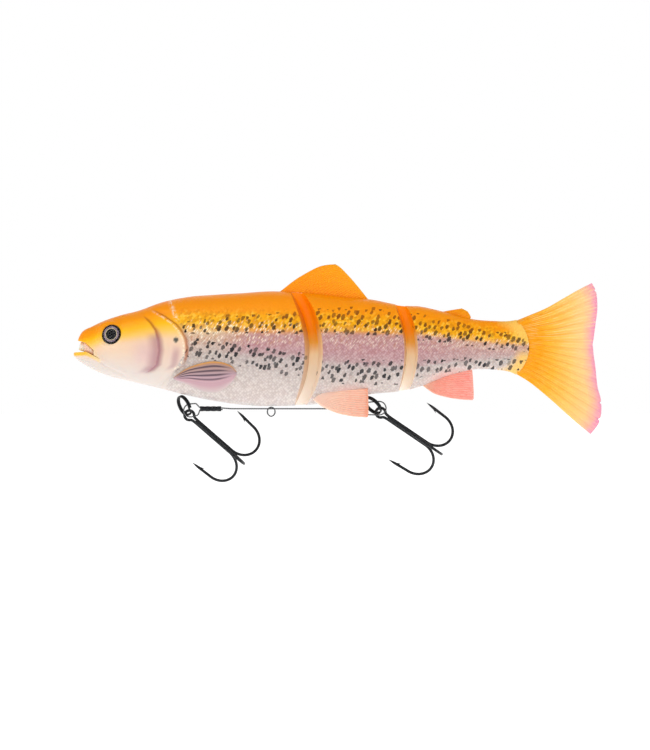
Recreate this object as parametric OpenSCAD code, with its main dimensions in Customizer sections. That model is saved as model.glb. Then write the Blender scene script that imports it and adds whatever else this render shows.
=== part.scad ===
// Jointed line-through trout swimbait. Millimetres, +X towards the tail, +Z up, left flank at -Y.
// The origin is the front end of the straight line tube, where the leader enters the mouth.

/* [Body] */
// Roundness of the body section: 2 is an ellipse, more is boxier
body_power = 2.2; // [2:0.1:2.6]
// How much wider or slimmer the body is than the standard shape
body_width_factor = 1; // [0.95:0.01:1.02]

/* [Body joints] */
// Hinge line of the front joint, from the tube's front end
front_joint_x = 87.4; // [87:0.1:88]
// Hinge line of the rear joint
rear_joint_x = 124.2; // [124:0.1:125]
// Radius of the curved joint gap, seen from the side
joint_radius = 42; // [40:1:45]
// Height of the centre of both joint curves
joint_curve_z = -1.8; // [-3:0.1:0]
// Half of the front gap's width at the skin
front_gap_half = 3.55; // [3:0.05:3.8]
// Half of the rear gap's width at the skin
rear_gap_half = 3; // [2.8:0.05:3.4]
// Half of the gap's width at the centre web
web_gap_half = 1.6; // [1.4:0.1:2]
// Thickness of the soft web that joins two sections
web_thick = 2.4; // [2:0.1:3]
// Thickness of the netting strip inside the web
mesh_thick = 0.4; // [0.3:0.05:0.6]
// How far the netting reaches into each section
mesh_reach = 8; // [6:1:9]

/* [Line tube and weight] */
// Bore of the line tube
tube_bore = 2; // [1.6:0.1:2]
// Outside diameter of the line tube
tube_outer = 2.8; // [2.6:0.1:2.8]
// Length of the line tube
tube_length = 68; // [66:1:69]
// Slope of the line tube below the level, in degrees
tube_slope = 18.1; // [17.5:0.1:18.4]
// Diameter of the keel weight
weight_diameter = 8; // [6:0.5:8]
// Length of the keel weight
weight_length = 15; // [10:1:16]

/* [Eyes] */
// Diameter of the eye disc
eye_diameter = 7.4; // [6.5:0.1:7.6]
// Thickness of the eye disc
eye_disc_thick = 0.7; // [0.5:0.1:0.9]
// Height of the clear dome over the disc
eye_dome = 1.3; // [1:0.1:1.5]

/* [Fins] */
// Thickness of the dorsal, adipose and anal fins
fin_thick = 1.4; // [1:0.1:1.8]
// Thickness of the pelvic fins
pelvic_thick = 1.2; // [1:0.1:1.4]
// Height of the folded pectoral fin above the flank
pectoral_relief = 1.1; // [0.8:0.1:1.3]
// Thickness of the tail fin
tail_fin_thick = 1.5; // [1.2:0.1:1.8]

/* [Rig] */
// Thickness of the leader wire
wire_thick = 0.5; // [0.4:0.05:0.5]
// Height of the leader wire
wire_z = -23.4; // [-24:0.1:-23.3]
// Sideways place of the leader wire, on the left of the hook eyes
wire_y = -2.4; // [-2.5:0.05:-2.3]
// Mean diameter of a split ring
split_ring_mean = 7.7; // [7.5:0.1:7.8]
// Thickness of one turn of a split ring
split_ring_wire = 0.75; // [0.7:0.05:0.8]
// Mean diameter of the line-tie ring
tie_ring_mean = 3.4; // [3.2:0.1:3.6]

/* [Hooks] */
// Thickness of the hook wire
hook_wire = 1.1; // [1:0.05:1.15]
// Straight shank, from the eye's neck to the start of the bend
hook_shank = 18.3; // [17:0.1:19]
// Radius of the hook's bend
hook_bend = 6.9; // [6:0.1:7.2]
// Inside diameter of the hook's eye
hook_eye = 2.6; // [2.5:0.1:2.8]
// Slope of the front treble's shank below the level, in degrees
front_hook_slope = 41; // [38:1:48]
// Slope of the rear treble's shank below the level, in degrees
rear_hook_slope = 34.2; // [32:1:40]

/* [Hidden] */

// Smoothness of the soft mouldings and of the exact round parts
skin_sides = 32;
round_sides = 48;
wire_sides = 10;
pectoral_rows = 7;

// Body outline from snout to tail root: x, top, bottom, half width
body_line = [
    [-3.8, -2.2, -3.2, 0.9], [-3.2, -1.5, -4, 1.9], [-2.2, 2.9, -4.9, 2.9],
    [-0.5, 5.9, -6.3, 4.1], [3, 7.8, -8.3, 5.8], [8, 10.1, -10.5, 7.7],
    [14, 12.1, -12.2, 9.3], [21, 13.9, -13.8, 10.6], [30, 17.1, -16, 11.6],
    [40, 19.1, -18.5, 12.2], [50, 19.9, -20.5, 12.5], [60, 20.5, -21.9, 12.6],
    [72, 21.2, -22.4, 12.5], [88, 20.3, -21.7, 12], [100, 18.9, -19.8, 11.2],
    [109, 18.1, -17.9, 10.4], [121, 15.8, -16.7, 9.4], [128, 15.4, -14.9, 8.6],
    [138, 13.1, -11, 7], [148, 10.6, -8.6, 5.3], [157, 9.9, -8.7, 4],
    [163, 10.1, -9.9, 3], [170, 12.2, -14.6, 2]
];
top_at = 1;
bottom_at = 2;
width_at = 3;
widest_half = 12.5;
// Half width of a cutter that goes right across the body, and how far it reaches along it
across = 20;
far_reach = 90;

// Side outlines, as x and z
mouth_gap = [
    [-8, 3.4], [-2.4, 2.5], [1, 1.5], [4, -1.2], [6.6, -4.6],
    [4.1, -3.1], [1.1, -1.8], [-3.4, -2], [-8, -2.2]
];
dorsal_outline = [
    [74.5, 21.9], [80.6, 25.8], [86.6, 29.3], [89.7, 30.7], [92.7, 31.3], [95.6, 31.5],
    [97.3, 30.4], [100.3, 27.4], [103.4, 23.9], [107.9, 18.3], [106.5, 16.6], [92, 18],
    [88.6, 18.6], [87.6, 21.4], [80, 21.75]
];
adipose_outline = [
    [134.9, 13.4], [139.1, 14], [143.6, 14.7], [145.8, 13.5], [147.1, 11.4], [146, 9.3],
    [141, 10], [136.5, 11.5]
];
anal_outline = [
    [128.4, -14.5], [133.4, -17.8], [140.8, -19.6], [147.6, -20.2], [148.2, -19.6],
    [147.4, -7], [140, -8], [134, -10.5], [129, -13]
];
pelvic_outline = [
    [87.2, -20.2], [90.6, -23.1], [95.8, -25.6], [100.8, -27], [107.3, -27.6],
    [107.9, -27], [107.8, -15.4], [100, -15.8], [91, -17.4]
];
// Folded pectoral fin: x, top and bottom
pectoral_line = [
    [34.4, -11.5, -12.2], [39.6, -8.1, -14.4], [45.4, -6.1, -16.8], [50.5, -5.5, -17.1],
    [56, -7, -14], [58.3, -9.4, -10.6]
];
tail_outline = [
    [160, 9.4], [169.5, 12.2], [175.6, 14.8], [181.6, 18.2], [187.7, 21.7], [193, 24.4],
    [194.6, 21.1], [195.2, 14.6], [194.6, 9.5], [193.4, 0], [194.4, -8], [195.2, -15.2],
    [196.4, -19.8], [196.6, -25], [195.5, -29.1], [192.5, -33.1], [186, -27.7],
    [177.3, -19.9], [169.5, -13.5], [162, -9.6]
];

// Angle that each netting strip covers on its joint's arc
front_mesh_sweep = 34;
rear_mesh_sweep = 22;

// Tail root: the section ends in a convex curve and the soft fin starts in a concave one
tail_root_x = 155.3;
tail_root_radius = 13.7;
tail_root_gap = 0.9;

// Pelvic fins: how far apart their roots stand, and how they splay out
pelvic_root_y = 7.2;
pelvic_root_z = -18;
pelvic_splay = 26;

// Eyes: centre of the disc's back, and its turn out of the side plane
eye_at = [11, -7.35, 4.7];
eye_turn = 17;
eye_tilt = 11;

// Line tube axis and keel weight on it
tube_dir = [cos(tube_slope), 0, -sin(tube_slope)];
channel_clearance = 0.15;
weight_start = 41.5;
weight_lift = 2.1;
weight_clearance = 0.15;

// Magnets that hold the split rings against the belly
magnet_diameter = 4.4;
magnet_length = 3;
magnet_clearance = 0.1;
front_magnet = [36.1, 0, -17];
rear_magnet = [106.9, 0, -17.5];

// Split rings: centre, and the direction from the held top to the hook at the bottom
front_ring_at = [38.15, 0, -22.25];
front_ring_lean = 25.8;
rear_ring_at = [109.7, 0, -22.1];
rear_ring_lean = 46.2;
ring_turn = 62;
tie_ring_at = [71.2, wire_y, wire_z - 1.15];
tie_ring_wire = 0.5;
tie_ring_turn = 32;

// Leader wire: crimp sleeves, strand spacing and loop sizes
front_sleeve_x = 44.2;
rear_sleeve_x = 97.5;
sleeve_length = 8;
strand_gap = 0.62;
front_loop_tip = [38, -24.5];
rear_loop_tip = [114.8, -23.1];
front_loop_half = 2.5;
rear_loop_half = 2.6;

// Hooks: points stand out and the barb rises inside them
hook_point_reach = 8.3;
hook_flare = 0.6;
hook_play = 0.3;
barb_back = 3.6;
barb_rise = 1.3;
taper_length = 3.2;

hook_radius = hook_wire / 2;
eye_mean_radius = (hook_eye + hook_wire) / 2;
shank_offset = hook_radius + 0.04;
eye_neck = sqrt(pow(eye_mean_radius, 2) - pow(shank_offset, 2)) + 0.8;
single_offset = -sqrt(pow(hook_wire + 0.03, 2) - pow(shank_offset, 2));

// ---- Functions ----

function unit(v) = v / norm(v);

// Which stretch of a table holds x
function stretch(t, x, i = 0) = i >= len(t) - 2 || x < t[i + 1][0] ? i : stretch(t, x, i + 1);

function slope_at(t, i, k) =
    let (a = max(i - 1, 0), b = min(i + 1, len(t) - 1))
    (t[b][k] - t[a][k]) / (t[b][0] - t[a][0]);

// Column k of a table at x, by a smooth cubic through its rows
function smooth(t, x, k) =
    let (i = stretch(t, x), h = t[i + 1][0] - t[i][0], u = (x - t[i][0]) / h)
    (2 * u * u * u - 3 * u * u + 1) * t[i][k] + (u * u * u - 2 * u * u + u) * h * slope_at(t, i, k)
    + (3 * u * u - 2 * u * u * u) * t[i + 1][k] + (u * u * u - u * u) * h * slope_at(t, i + 1, k);

function signed_power(v, p) = sign(v) * pow(abs(v), p);

// One vertical ring of the body's skin at x
function body_ring(x) =
    let (
        top = smooth(body_line, x, top_at),
        bottom = smooth(body_line, x, bottom_at),
        half = smooth(body_line, x, width_at) * body_width_factor,
        mid = (top + bottom) / 2
    )
    [for (i = [0:skin_sides - 1])
        let (a = 360 * (i + 0.5) / skin_sides)
        [
            x,
            half * signed_power(sin(a), 2 / body_power),
            mid + (top - mid) * signed_power(cos(a), 2 / body_power)
        ]];

// How far the skin stands out sideways at x and z
function skin_y(x, z) =
    let (
        top = smooth(body_line, x, top_at),
        bottom = smooth(body_line, x, bottom_at),
        t = abs(2 * z - top - bottom) / (top - bottom)
    )
    smooth(body_line, x, width_at) * body_width_factor
    * pow(1 - pow(t, body_power), 1 / body_power);

// One section of the folded pectoral fin: down its inner face, then up its outer face
function pectoral_ring(x) =
    let (
        top = smooth(pectoral_line, x, top_at),
        bottom = smooth(pectoral_line, x, bottom_at),
        last = pectoral_rows - 1,
        zs = [for (j = [0:last]) top + (bottom - top) * j / last]
    )
    concat(
        [for (j = [0:last]) [x, -skin_y(x, zs[j]) - 0.1, zs[j]]],
        [for (j = [last:-1:0])
            [x, -skin_y(x, zs[j]) - 0.1 - pectoral_relief * (0.4 + 0.6 * sin(180 * j / last)), zs[j]]]
    );

// Closed polyhedron faces over rings of `sides` points each
function loft_faces(rings, sides) = concat(
    [[for (i = [0:sides - 1]) sides - 1 - i]],
    [for (r = [0:rings - 2], i = [0:sides - 1])
        let (a = r * sides + i, b = r * sides + (i + 1) % sides)
        each [[a, b, b + sides], [a, b + sides, a + sides]]],
    [[for (i = [0:sides - 1]) (rings - 1) * sides + i]]
);

function path_dir(p, i) = unit(p[min(i + 1, len(p) - 1)] - p[max(i - 1, 0)]);

// A direction square to each step of a path, carried along it without twist
function path_normals(p, start) = [
    for (i = 0, n = unit(start - (start * path_dir(p, 0)) * path_dir(p, 0)); i < len(p);
        i = i + 1,
        t = path_dir(p, min(i, len(p) - 1)),
        n = unit(n - (n * t) * t))
    n
];

// Distance of a joint's wall from its hinge line: it opens from the web out to the skin
function joint_wall(half, y) =
    web_gap_half + (half - web_gap_half) * max(0, abs(y) - web_thick / 2) / (widest_half - web_thick / 2);

// Hook path in its own frame: x down the shank, u outwards in the bend's plane
function hook_path(base, out) =
    let (c = hook_shank, steps = 10)
    concat(
        [base + [2, 0, 0], base + [c / 2, 0, 0]],
        [for (i = [0:steps])
            let (a = 180 * i / steps)
            base + [c + hook_bend * sin(a), 0, 0] + out * hook_bend * (1 - cos(a))],
        [for (f = [0.5, 1 - taper_length / hook_point_reach, 0.85, 1])
            base + [c - hook_point_reach * f, 0, 0] + out * (2 * hook_bend + hook_flare * f)]
    );

function hook_radii() = concat(
    [for (i = [0:13]) hook_radius], [hook_radius, hook_radius * 0.62, 0.08]
);

// The inner side of the barb, near the point
function barb_base(base, out) =
    base + [hook_shank - hook_point_reach + barb_back, 0, 0] + out * (2 * hook_bend + hook_flare * 0.6);

// ---- Building blocks ----

module body_loft(x_start, x_end, steps = 20) {
    xs = [for (i = [0:steps]) x_start + (x_end - x_start) * i / steps];
    rings = [for (x = xs) each body_ring(x)];
    polyhedron(rings, loft_faces(len(xs), skin_sides), convexity = 4);
}

// The head needs closer rings at the snout
module head_loft() {
    xs = concat(
        [-3.8, -3.5, -3.2, -2.7, -2.2, -1.4, -0.5, 1], [for (x = [3:3:30]) x],
        [for (x = [34:5:84]) x], [86]
    );
    rings = [for (x = xs) each body_ring(x)];
    polyhedron(rings, loft_faces(len(xs), skin_sides), convexity = 4);
}

// Extrudes a side outline across the body's middle plane
module side_plate(outline, thick) {
    translate([0, thick / 2, 0]) rotate([90, 0, 0]) linear_extrude(thick) polygon(outline);
}

// All that lies behind a joint's front wall, or ahead of its rear wall
module beyond_joint(joint_x, half, side) {
    reach = side > 0 ? joint_radius + far_reach : 4;
    edge = [for (y = [-across, -web_thick / 2, web_thick / 2, across])
        [joint_radius - side * joint_wall(half, y), y]];
    translate([joint_x - joint_radius, 0, joint_curve_z]) rotate([90, 0, 0]) rotate([0, 0, -50])
        rotate_extrude(angle = 100, $fn = 144)
            polygon(concat(edge, [[reach, across], [reach, -across]]));
}

// A curved slab on a joint's arc, between two distances from its hinge line
module joint_slab(joint_x, inner, outer, thick, sweep) {
    translate([joint_x - joint_radius, 0, joint_curve_z]) rotate([90, 0, 0])
        rotate([0, 0, -sweep / 2]) rotate_extrude(angle = sweep, $fn = 144)
            translate([joint_radius - inner, -thick / 2]) square([inner + outer, thick]);
}

module joint_web(joint_x) {
    intersection() {
        body_loft(joint_x - 14, joint_x + 8);
        joint_slab(joint_x, web_gap_half, web_gap_half, web_thick, 80);
    }
}

module joint_mesh(joint_x, clear = 0, sweep = front_mesh_sweep) {
    joint_slab(joint_x, mesh_reach + clear, mesh_reach + clear, mesh_thick + 2 * clear, sweep);
}

module along_tube(start) {
    translate(tube_dir * start) rotate([0, 90 + tube_slope, 0]) children();
}

module weight_shape(clear = 0) {
    along_tube(weight_start - clear) translate([-weight_lift, 0, 0])
        cylinder(h = weight_length + 2 * clear, d = weight_diameter + 2 * clear, $fn = round_sides);
}

module magnet_shape(at, clear = 0) {
    translate(at - [0, 0, clear ? 3 : 0])
        cylinder(h = magnet_length + (clear ? 3 : 0), d = magnet_diameter + 2 * clear, $fn = round_sides);
}

// Places children at one eye, with +Z out of the head; side is 1 for left, -1 for right
module at_eye(side) {
    mirror([0, side < 0 ? 1 : 0, 0]) translate(eye_at) rotate([90 - eye_tilt, 0, -eye_turn]) children();
}

module eye_pocket(side) {
    at_eye(side) translate([0, 0, -0.1]) cylinder(h = 6, d = eye_diameter + 0.3, $fn = round_sides);
}

module pelvic_shape(side) {
    mirror([0, side < 0 ? 1 : 0, 0]) translate([0, -pelvic_root_y, pelvic_root_z])
        rotate([-pelvic_splay, 0, 0]) translate([0, 0, -pelvic_root_z])
            side_plate(pelvic_outline, pelvic_thick);
}

// A round wire swept along a path; radii has one value for each point
module wire_along(path, radii, start, sides = wire_sides) {
    normals = path_normals(path, start);
    points = [for (i = [0:len(path) - 1])
        let (t = path_dir(path, i), n = unit(normals[i] - (normals[i] * t) * t), b = cross(n, t))
        for (k = [0:sides - 1])
            path[i] + radii[i] * (cos(360 * k / sides) * n + sin(360 * k / sides) * b)];
    polyhedron(points, loft_faces(len(path), sides), convexity = 6);
}

module split_ring(at, lean) {
    down = [sin(lean), 0, -cos(lean)];
    color("dimgray") translate(at) rotate(a = ring_turn, v = down) rotate([90, 0, 0])
        rotate_extrude($fn = 96) for (side = [-1, 1])
            translate([split_ring_mean / 2, side * split_ring_wire * 0.45])
                circle(d = split_ring_wire, $fn = 24);
}

// Places children at a treble: x down the shank, z out of the barrel's upper side
module at_treble(ring_at, lean, slope) {
    limb = ring_at + split_ring_mean / 2 * [sin(lean), 0, -cos(lean)];
    shank = [cos(slope), 0, -sin(slope)];
    translate(limb + shank * (hook_play + eye_neck)) rotate([0, slope, 0]) children();
}

module barb(base, out) {
    at = barb_base(base, out);
    wire_along([at, at + [0.7, 0, 0] - out * 0.5, at + [1.5, 0, 0] - out * barb_rise],
        [0.42, 0.34, 0.06], cross([1, 0, 0], out), 8);
}

module double_hook() {
    eye_steps = 18;
    gap_angle = asin(shank_offset / eye_mean_radius);
    outs = [for (s = [-1, 1]) [0, 0.5, s * sqrt(3) / 2]];
    bases = [for (s = [-1, 1]) [0, 0, s * shank_offset]];
    lower = hook_path(bases[0], outs[0]);
    upper = hook_path(bases[1], outs[1]);
    eye = [for (i = [0:eye_steps])
        let (a = -180 + gap_angle + (360 - 2 * gap_angle) * i / eye_steps)
        [-eye_neck - eye_mean_radius * cos(a), 0, eye_mean_radius * sin(a)]];
    count = len(lower);
    path = concat(
        [for (i = [0:count - 1]) lower[count - 1 - i]], [bases[0]], eye, [bases[1]], upper
    );
    radii = hook_radii();
    all_radii = concat(
        [for (i = [0:count - 1]) radii[count - 1 - i]],
        [for (i = [0:eye_steps + 2]) hook_radius], radii
    );
    color("dimgray") resize([0, 0, 0]) union() {
        wire_along(path, all_radii, [0, 1, 0]);
        for (i = [0, 1]) barb(bases[i], outs[i]);
    }
}

module single_hook() {
    base = [0, single_offset, 0];
    out = [0, -1, 0];
    color("dimgray") resize([0, 0, 0]) union() {
        wire_along(hook_path(base, out), hook_radii(), [0, 0, 1]);
        barb(base, out);
    }
}

// ---- Sub-parts ----
// resize([0, 0, 0]) keeps the size: it only makes a moulding or a hook one faceted solid.

// Soft head and shoulder moulding with its mouth, pockets and line channel
module front_body() {
    color("orange") resize([0, 0, 0]) difference() {
        head_loft();
        beyond_joint(front_joint_x, front_gap_half, 1);
        side_plate(mouth_gap, 2 * across);
        along_tube(-3) cylinder(h = tube_length + 12, d = tube_outer + 2 * channel_clearance, $fn = 24);
        weight_shape(weight_clearance);
        magnet_shape(front_magnet, magnet_clearance);
        joint_mesh(front_joint_x, 0.1);
        for (side = [1, -1]) eye_pocket(side);
    }
}

module middle_body() {
    color("gold") resize([0, 0, 0]) difference() {
        body_loft(78, 126);
        beyond_joint(front_joint_x, front_gap_half, -1);
        beyond_joint(rear_joint_x, rear_gap_half, 1);
        joint_mesh(front_joint_x, 0.1);
        joint_mesh(rear_joint_x, 0.1, rear_mesh_sweep);
        magnet_shape(rear_magnet, magnet_clearance);
        side_plate(dorsal_outline, fin_thick);
        for (side = [1, -1]) pelvic_shape(side);
    }
}

module tail_body() {
    color("gold") resize([0, 0, 0]) difference() {
        body_loft(116, 170, steps = 22);
        beyond_joint(rear_joint_x, rear_gap_half, -1);
        joint_mesh(rear_joint_x, 0.1, rear_mesh_sweep);
        side_plate(adipose_outline, fin_thick);
        side_plate(anal_outline, fin_thick);
        difference() {
            translate([tail_root_x, -across, -2 * across]) cube([2 * across, 2 * across, 4 * across]);
            translate([tail_root_x, 0, 0]) rotate([90, 0, 0])
                cylinder(h = 3 * across, r = tail_root_radius, center = true, $fn = round_sides * 2);
        }
    }
}

module front_joint_web() {
    color("bisque") resize([0, 0, 0]) difference() {
        joint_web(front_joint_x);
        joint_mesh(front_joint_x, 0.1);
    }
}

module rear_joint_web() {
    color("bisque") resize([0, 0, 0]) difference() {
        joint_web(rear_joint_x);
        joint_mesh(rear_joint_x, 0.1, rear_mesh_sweep);
    }
}

module front_joint_mesh() {
    color("white") joint_mesh(front_joint_x);
}

module rear_joint_mesh() {
    color("white") joint_mesh(rear_joint_x, sweep = rear_mesh_sweep);
}

module line_tube() {
    color("whitesmoke") along_tube(0) difference() {
        cylinder(h = tube_length, d = tube_outer, $fn = round_sides);
        translate([0, 0, -1]) cylinder(h = tube_length + 2, d = tube_bore, $fn = round_sides);
    }
}

module keel_weight() {
    color("gray") difference() {
        weight_shape();
        along_tube(-1) cylinder(h = tube_length, d = tube_outer + 2 * channel_clearance, $fn = round_sides);
    }
}

module front_hook_magnet() {
    color("silver") magnet_shape(front_magnet);
}

module rear_hook_magnet() {
    color("silver") magnet_shape(rear_magnet);
}

module eye_disc(side) {
    color("silver") at_eye(side) cylinder(h = eye_disc_thick, d = eye_diameter, $fn = round_sides);
}

// Clear dome: a slice of a ball that has the disc's diameter at its base
module eye_lens(side) {
    ball = (pow(eye_diameter / 2, 2) + pow(eye_dome, 2)) / (2 * eye_dome);
    color("lightcyan") at_eye(side) translate([0, 0, eye_disc_thick]) rotate_extrude($fn = round_sides)
        intersection() {
            translate([0, eye_dome - ball]) circle(r = ball, $fn = 96);
            square([eye_diameter, eye_diameter]);
        }
}

module left_eye_disc() { eye_disc(1); }
module right_eye_disc() { eye_disc(-1); }
module left_eye_lens() { eye_lens(1); }
module right_eye_lens() { eye_lens(-1); }

// Fin folded flat on the flank, following the body's skin
module pectoral_fin(side) {
    steps = 12;
    first = pectoral_line[0][0];
    last = pectoral_line[len(pectoral_line) - 1][0];
    points = [for (i = [0:steps]) each pectoral_ring(first + (last - first) * i / steps)];
    color("rosybrown") mirror([0, side < 0 ? 1 : 0, 0])
        polyhedron(points, loft_faces(steps + 1, 2 * pectoral_rows), convexity = 4);
}

module left_pectoral_fin() { pectoral_fin(1); }
module right_pectoral_fin() { pectoral_fin(-1); }

module dorsal_fin() {
    color("orange") side_plate(dorsal_outline, fin_thick);
}

module adipose_fin() {
    color("orange") side_plate(adipose_outline, fin_thick);
}

module anal_fin() {
    color("lightsalmon") side_plate(anal_outline, fin_thick);
}

module left_pelvic_fin() { color("lightsalmon") pelvic_shape(1); }
module right_pelvic_fin() { color("lightsalmon") pelvic_shape(-1); }

module tail_fin() {
    color("orange") difference() {
        side_plate(tail_outline, tail_fin_thick);
        translate([tail_root_x, 0, 0]) rotate([90, 0, 0])
            cylinder(h = across, r = tail_root_radius + tail_root_gap, center = true, $fn = round_sides * 2);
    }
}

module front_split_ring() { split_ring(front_ring_at, front_ring_lean); }
module rear_split_ring() { split_ring(rear_ring_at, rear_ring_lean); }

// Points of one end loop, from the lower strand round the tip to the upper strand
function loop_path(neck_x, tip, half) =
    let (
        side = sign(tip[0] - neck_x),
        along = unit([tip[0] - neck_x, tip[1] - wire_z]),
        up = [-along[1], along[0]] * side,
        length = norm([tip[0] - neck_x, tip[1] - wire_z]),
        centre = tip - along * half,
        lead = 0.3 * (length - half)
    )
    concat(
        [[neck_x, wire_z - strand_gap / 2]],
        [[neck_x, wire_z] + along * lead - up * half * 0.9],
        [for (a = [-90:22.5:90]) centre + half * (sin(a) * up + cos(a) * along)],
        [[neck_x, wire_z] + along * lead + up * half * 0.9],
        [[neck_x, wire_z + strand_gap / 2]]
    );

module leader_wire() {
    front = loop_path(front_sleeve_x, front_loop_tip, front_loop_half);
    rear = loop_path(rear_sleeve_x + sleeve_length, rear_loop_tip, rear_loop_half);
    low = wire_z - strand_gap / 2;
    high = wire_z + strand_gap / 2;
    flat = concat(
        [[front_sleeve_x + sleeve_length + 0.6, low]],
        front,
        [[front_sleeve_x + sleeve_length, high], [front_sleeve_x + sleeve_length + 4, wire_z]],
        [[rear_sleeve_x - 4, wire_z], [rear_sleeve_x, high]],
        [for (i = [len(rear) - 1:-1:0]) rear[i]],
        [[rear_sleeve_x - 0.6, low]]
    );
    path = [for (p = flat) [p[0], wire_y, p[1]]];
    color("darkslategray") wire_along(path, [for (p = path) wire_thick / 2], [0, 1, 0], 8);
}

// Crimp sleeve: an oval tube with one bore for each strand
module crimp_sleeve(x) {
    bore = wire_thick + 0.06;
    color("dimgray") translate([x, wire_y, wire_z]) rotate([90, 0, 90]) linear_extrude(sleeve_length)
        difference() {
            union() {
                square([1.3, strand_gap], center = true);
                for (s = [-1, 1]) translate([0, s * strand_gap / 2]) circle(d = 1.3, $fn = 32);
            }
            for (s = [-1, 1]) translate([0, s * strand_gap / 2]) circle(d = bore, $fn = 24);
        }
}

module front_crimp_sleeve() { crimp_sleeve(front_sleeve_x); }
module rear_crimp_sleeve() { crimp_sleeve(rear_sleeve_x); }

module line_tie_ring() {
    color("dimgray") translate(tie_ring_at) rotate([0, 0, tie_ring_turn]) rotate([90, 0, 0])
        rotate_extrude($fn = 64) translate([tie_ring_mean / 2, 0]) circle(d = tie_ring_wire, $fn = 24);
}

module front_double_hook() { at_treble(front_ring_at, front_ring_lean, front_hook_slope) double_hook(); }
module front_single_hook() { at_treble(front_ring_at, front_ring_lean, front_hook_slope) single_hook(); }
module rear_double_hook() { at_treble(rear_ring_at, rear_ring_lean, rear_hook_slope) double_hook(); }
module rear_single_hook() { at_treble(rear_ring_at, rear_ring_lean, rear_hook_slope) single_hook(); }

front_body();
middle_body();
tail_body();
front_joint_web();
rear_joint_web();
front_joint_mesh();
rear_joint_mesh();
line_tube();
keel_weight();
front_hook_magnet();
rear_hook_magnet();
left_eye_disc();
right_eye_disc();
left_eye_lens();
right_eye_lens();
left_pectoral_fin();
right_pectoral_fin();
dorsal_fin();
adipose_fin();
left_pelvic_fin();
right_pelvic_fin();
anal_fin();
tail_fin();
front_split_ring();
rear_split_ring();
leader_wire();
front_crimp_sleeve();
rear_crimp_sleeve();
line_tie_ring();
front_double_hook();
front_single_hook();
rear_double_hook();
rear_single_hook();
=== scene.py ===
import math

import bmesh
import bpy
import numpy as np
from mathutils import Matrix, Vector


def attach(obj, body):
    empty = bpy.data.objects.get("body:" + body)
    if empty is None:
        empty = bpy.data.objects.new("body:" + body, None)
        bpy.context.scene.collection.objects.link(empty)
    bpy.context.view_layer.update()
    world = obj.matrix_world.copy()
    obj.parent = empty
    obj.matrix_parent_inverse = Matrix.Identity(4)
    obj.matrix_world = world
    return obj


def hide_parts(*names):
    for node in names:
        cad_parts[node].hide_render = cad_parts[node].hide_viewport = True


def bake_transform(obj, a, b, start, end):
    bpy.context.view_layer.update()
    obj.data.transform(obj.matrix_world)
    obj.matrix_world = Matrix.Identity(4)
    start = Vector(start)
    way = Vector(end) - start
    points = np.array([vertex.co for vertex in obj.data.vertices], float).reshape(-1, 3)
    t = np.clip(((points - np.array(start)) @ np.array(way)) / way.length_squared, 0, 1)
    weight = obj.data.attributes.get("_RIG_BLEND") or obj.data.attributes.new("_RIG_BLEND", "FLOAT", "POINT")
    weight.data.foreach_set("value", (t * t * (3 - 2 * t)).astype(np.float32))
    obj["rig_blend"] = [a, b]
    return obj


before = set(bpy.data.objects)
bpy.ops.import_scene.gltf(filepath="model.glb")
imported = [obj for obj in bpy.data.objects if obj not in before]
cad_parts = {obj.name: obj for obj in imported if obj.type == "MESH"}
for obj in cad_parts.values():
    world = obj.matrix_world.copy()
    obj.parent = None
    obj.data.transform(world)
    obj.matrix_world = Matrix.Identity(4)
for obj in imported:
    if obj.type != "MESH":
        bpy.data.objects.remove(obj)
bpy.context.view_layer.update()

mm = 0.001
scene = bpy.context.scene
print("frame loaded")

lure = {
    "roundness": 2.2,          # 2 is an ellipse, more is boxier
    "frontHinge": 87.4,
    "rearHinge": 124.2,
    "jointRadius": 42.0,       # curve of both joints, seen from the side
    "jointZ": -1.8,
    "frontGap": 3.55,          # half of the gap at the skin
    "rearGap": 3.0,
    "webGap": 1.6,
    "webHalf": 1.2,
    "wallHalf": 12.5,          # half width at which a gap wall is fully open
    "tailRootX": 155.3,
    "tailRootR": 13.7,
    "tubeSlope": 18.1,
}

# outline from snout to tail root: x, top, bottom, half width
bodyLine = np.array([
    [-3.8, -2.2, -3.2, 0.9], [-3.2, -1.5, -4, 1.9], [-2.2, 2.9, -4.9, 2.9],
    [-0.5, 5.9, -6.3, 4.1], [3, 7.8, -8.3, 5.8], [8, 10.1, -10.5, 7.7],
    [14, 12.1, -12.2, 9.3], [21, 13.9, -13.8, 10.6], [30, 17.1, -16, 11.6],
    [40, 19.1, -18.5, 12.2], [50, 19.9, -20.5, 12.5], [60, 20.5, -21.9, 12.6],
    [72, 21.2, -22.4, 12.5], [88, 20.3, -21.7, 12], [100, 18.9, -19.8, 11.2],
    [109, 18.1, -17.9, 10.4], [121, 15.8, -16.7, 9.4], [128, 15.4, -14.9, 8.6],
    [138, 13.1, -11, 7], [148, 10.6, -8.6, 5.3], [157, 9.9, -8.7, 4],
    [163, 10.1, -9.9, 3], [170, 12.2, -14.6, 2],
])

frontJoint = (lure["frontHinge"], lure["frontGap"])
rearJoint = (lure["rearHinge"], lure["rearGap"])

# where the paint changes: x, then heights of orange edge, gold edge, mauve top, mauve foot, belly edge
paintLine = np.array([
    [-4, 6.5, 3.5, 1, -3, -7], [30, 13.2, 9.2, 5, -3, -13], [54, 13.4, 9.7, 4.9, -2.4, -14],
    [80, 13, 8.8, 4.9, -3.6, -15.5], [92, 13, 8.5, 5, -5.6, -15.5], [107, 12.7, 8, 4.6, -7, -14.8],
    [122, 11.4, 7.2, 4.4, -7, -13.5], [130, 10.4, 6.4, 4.1, -6.8, -12], [141, 9.4, 4.6, 2.8, -5.6, -8.6],
    [158, 6.6, 3.4, 0.6, -4.2, -8.2], [175, 6.2, 3.2, 0.5, -4.2, -9],
])

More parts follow.
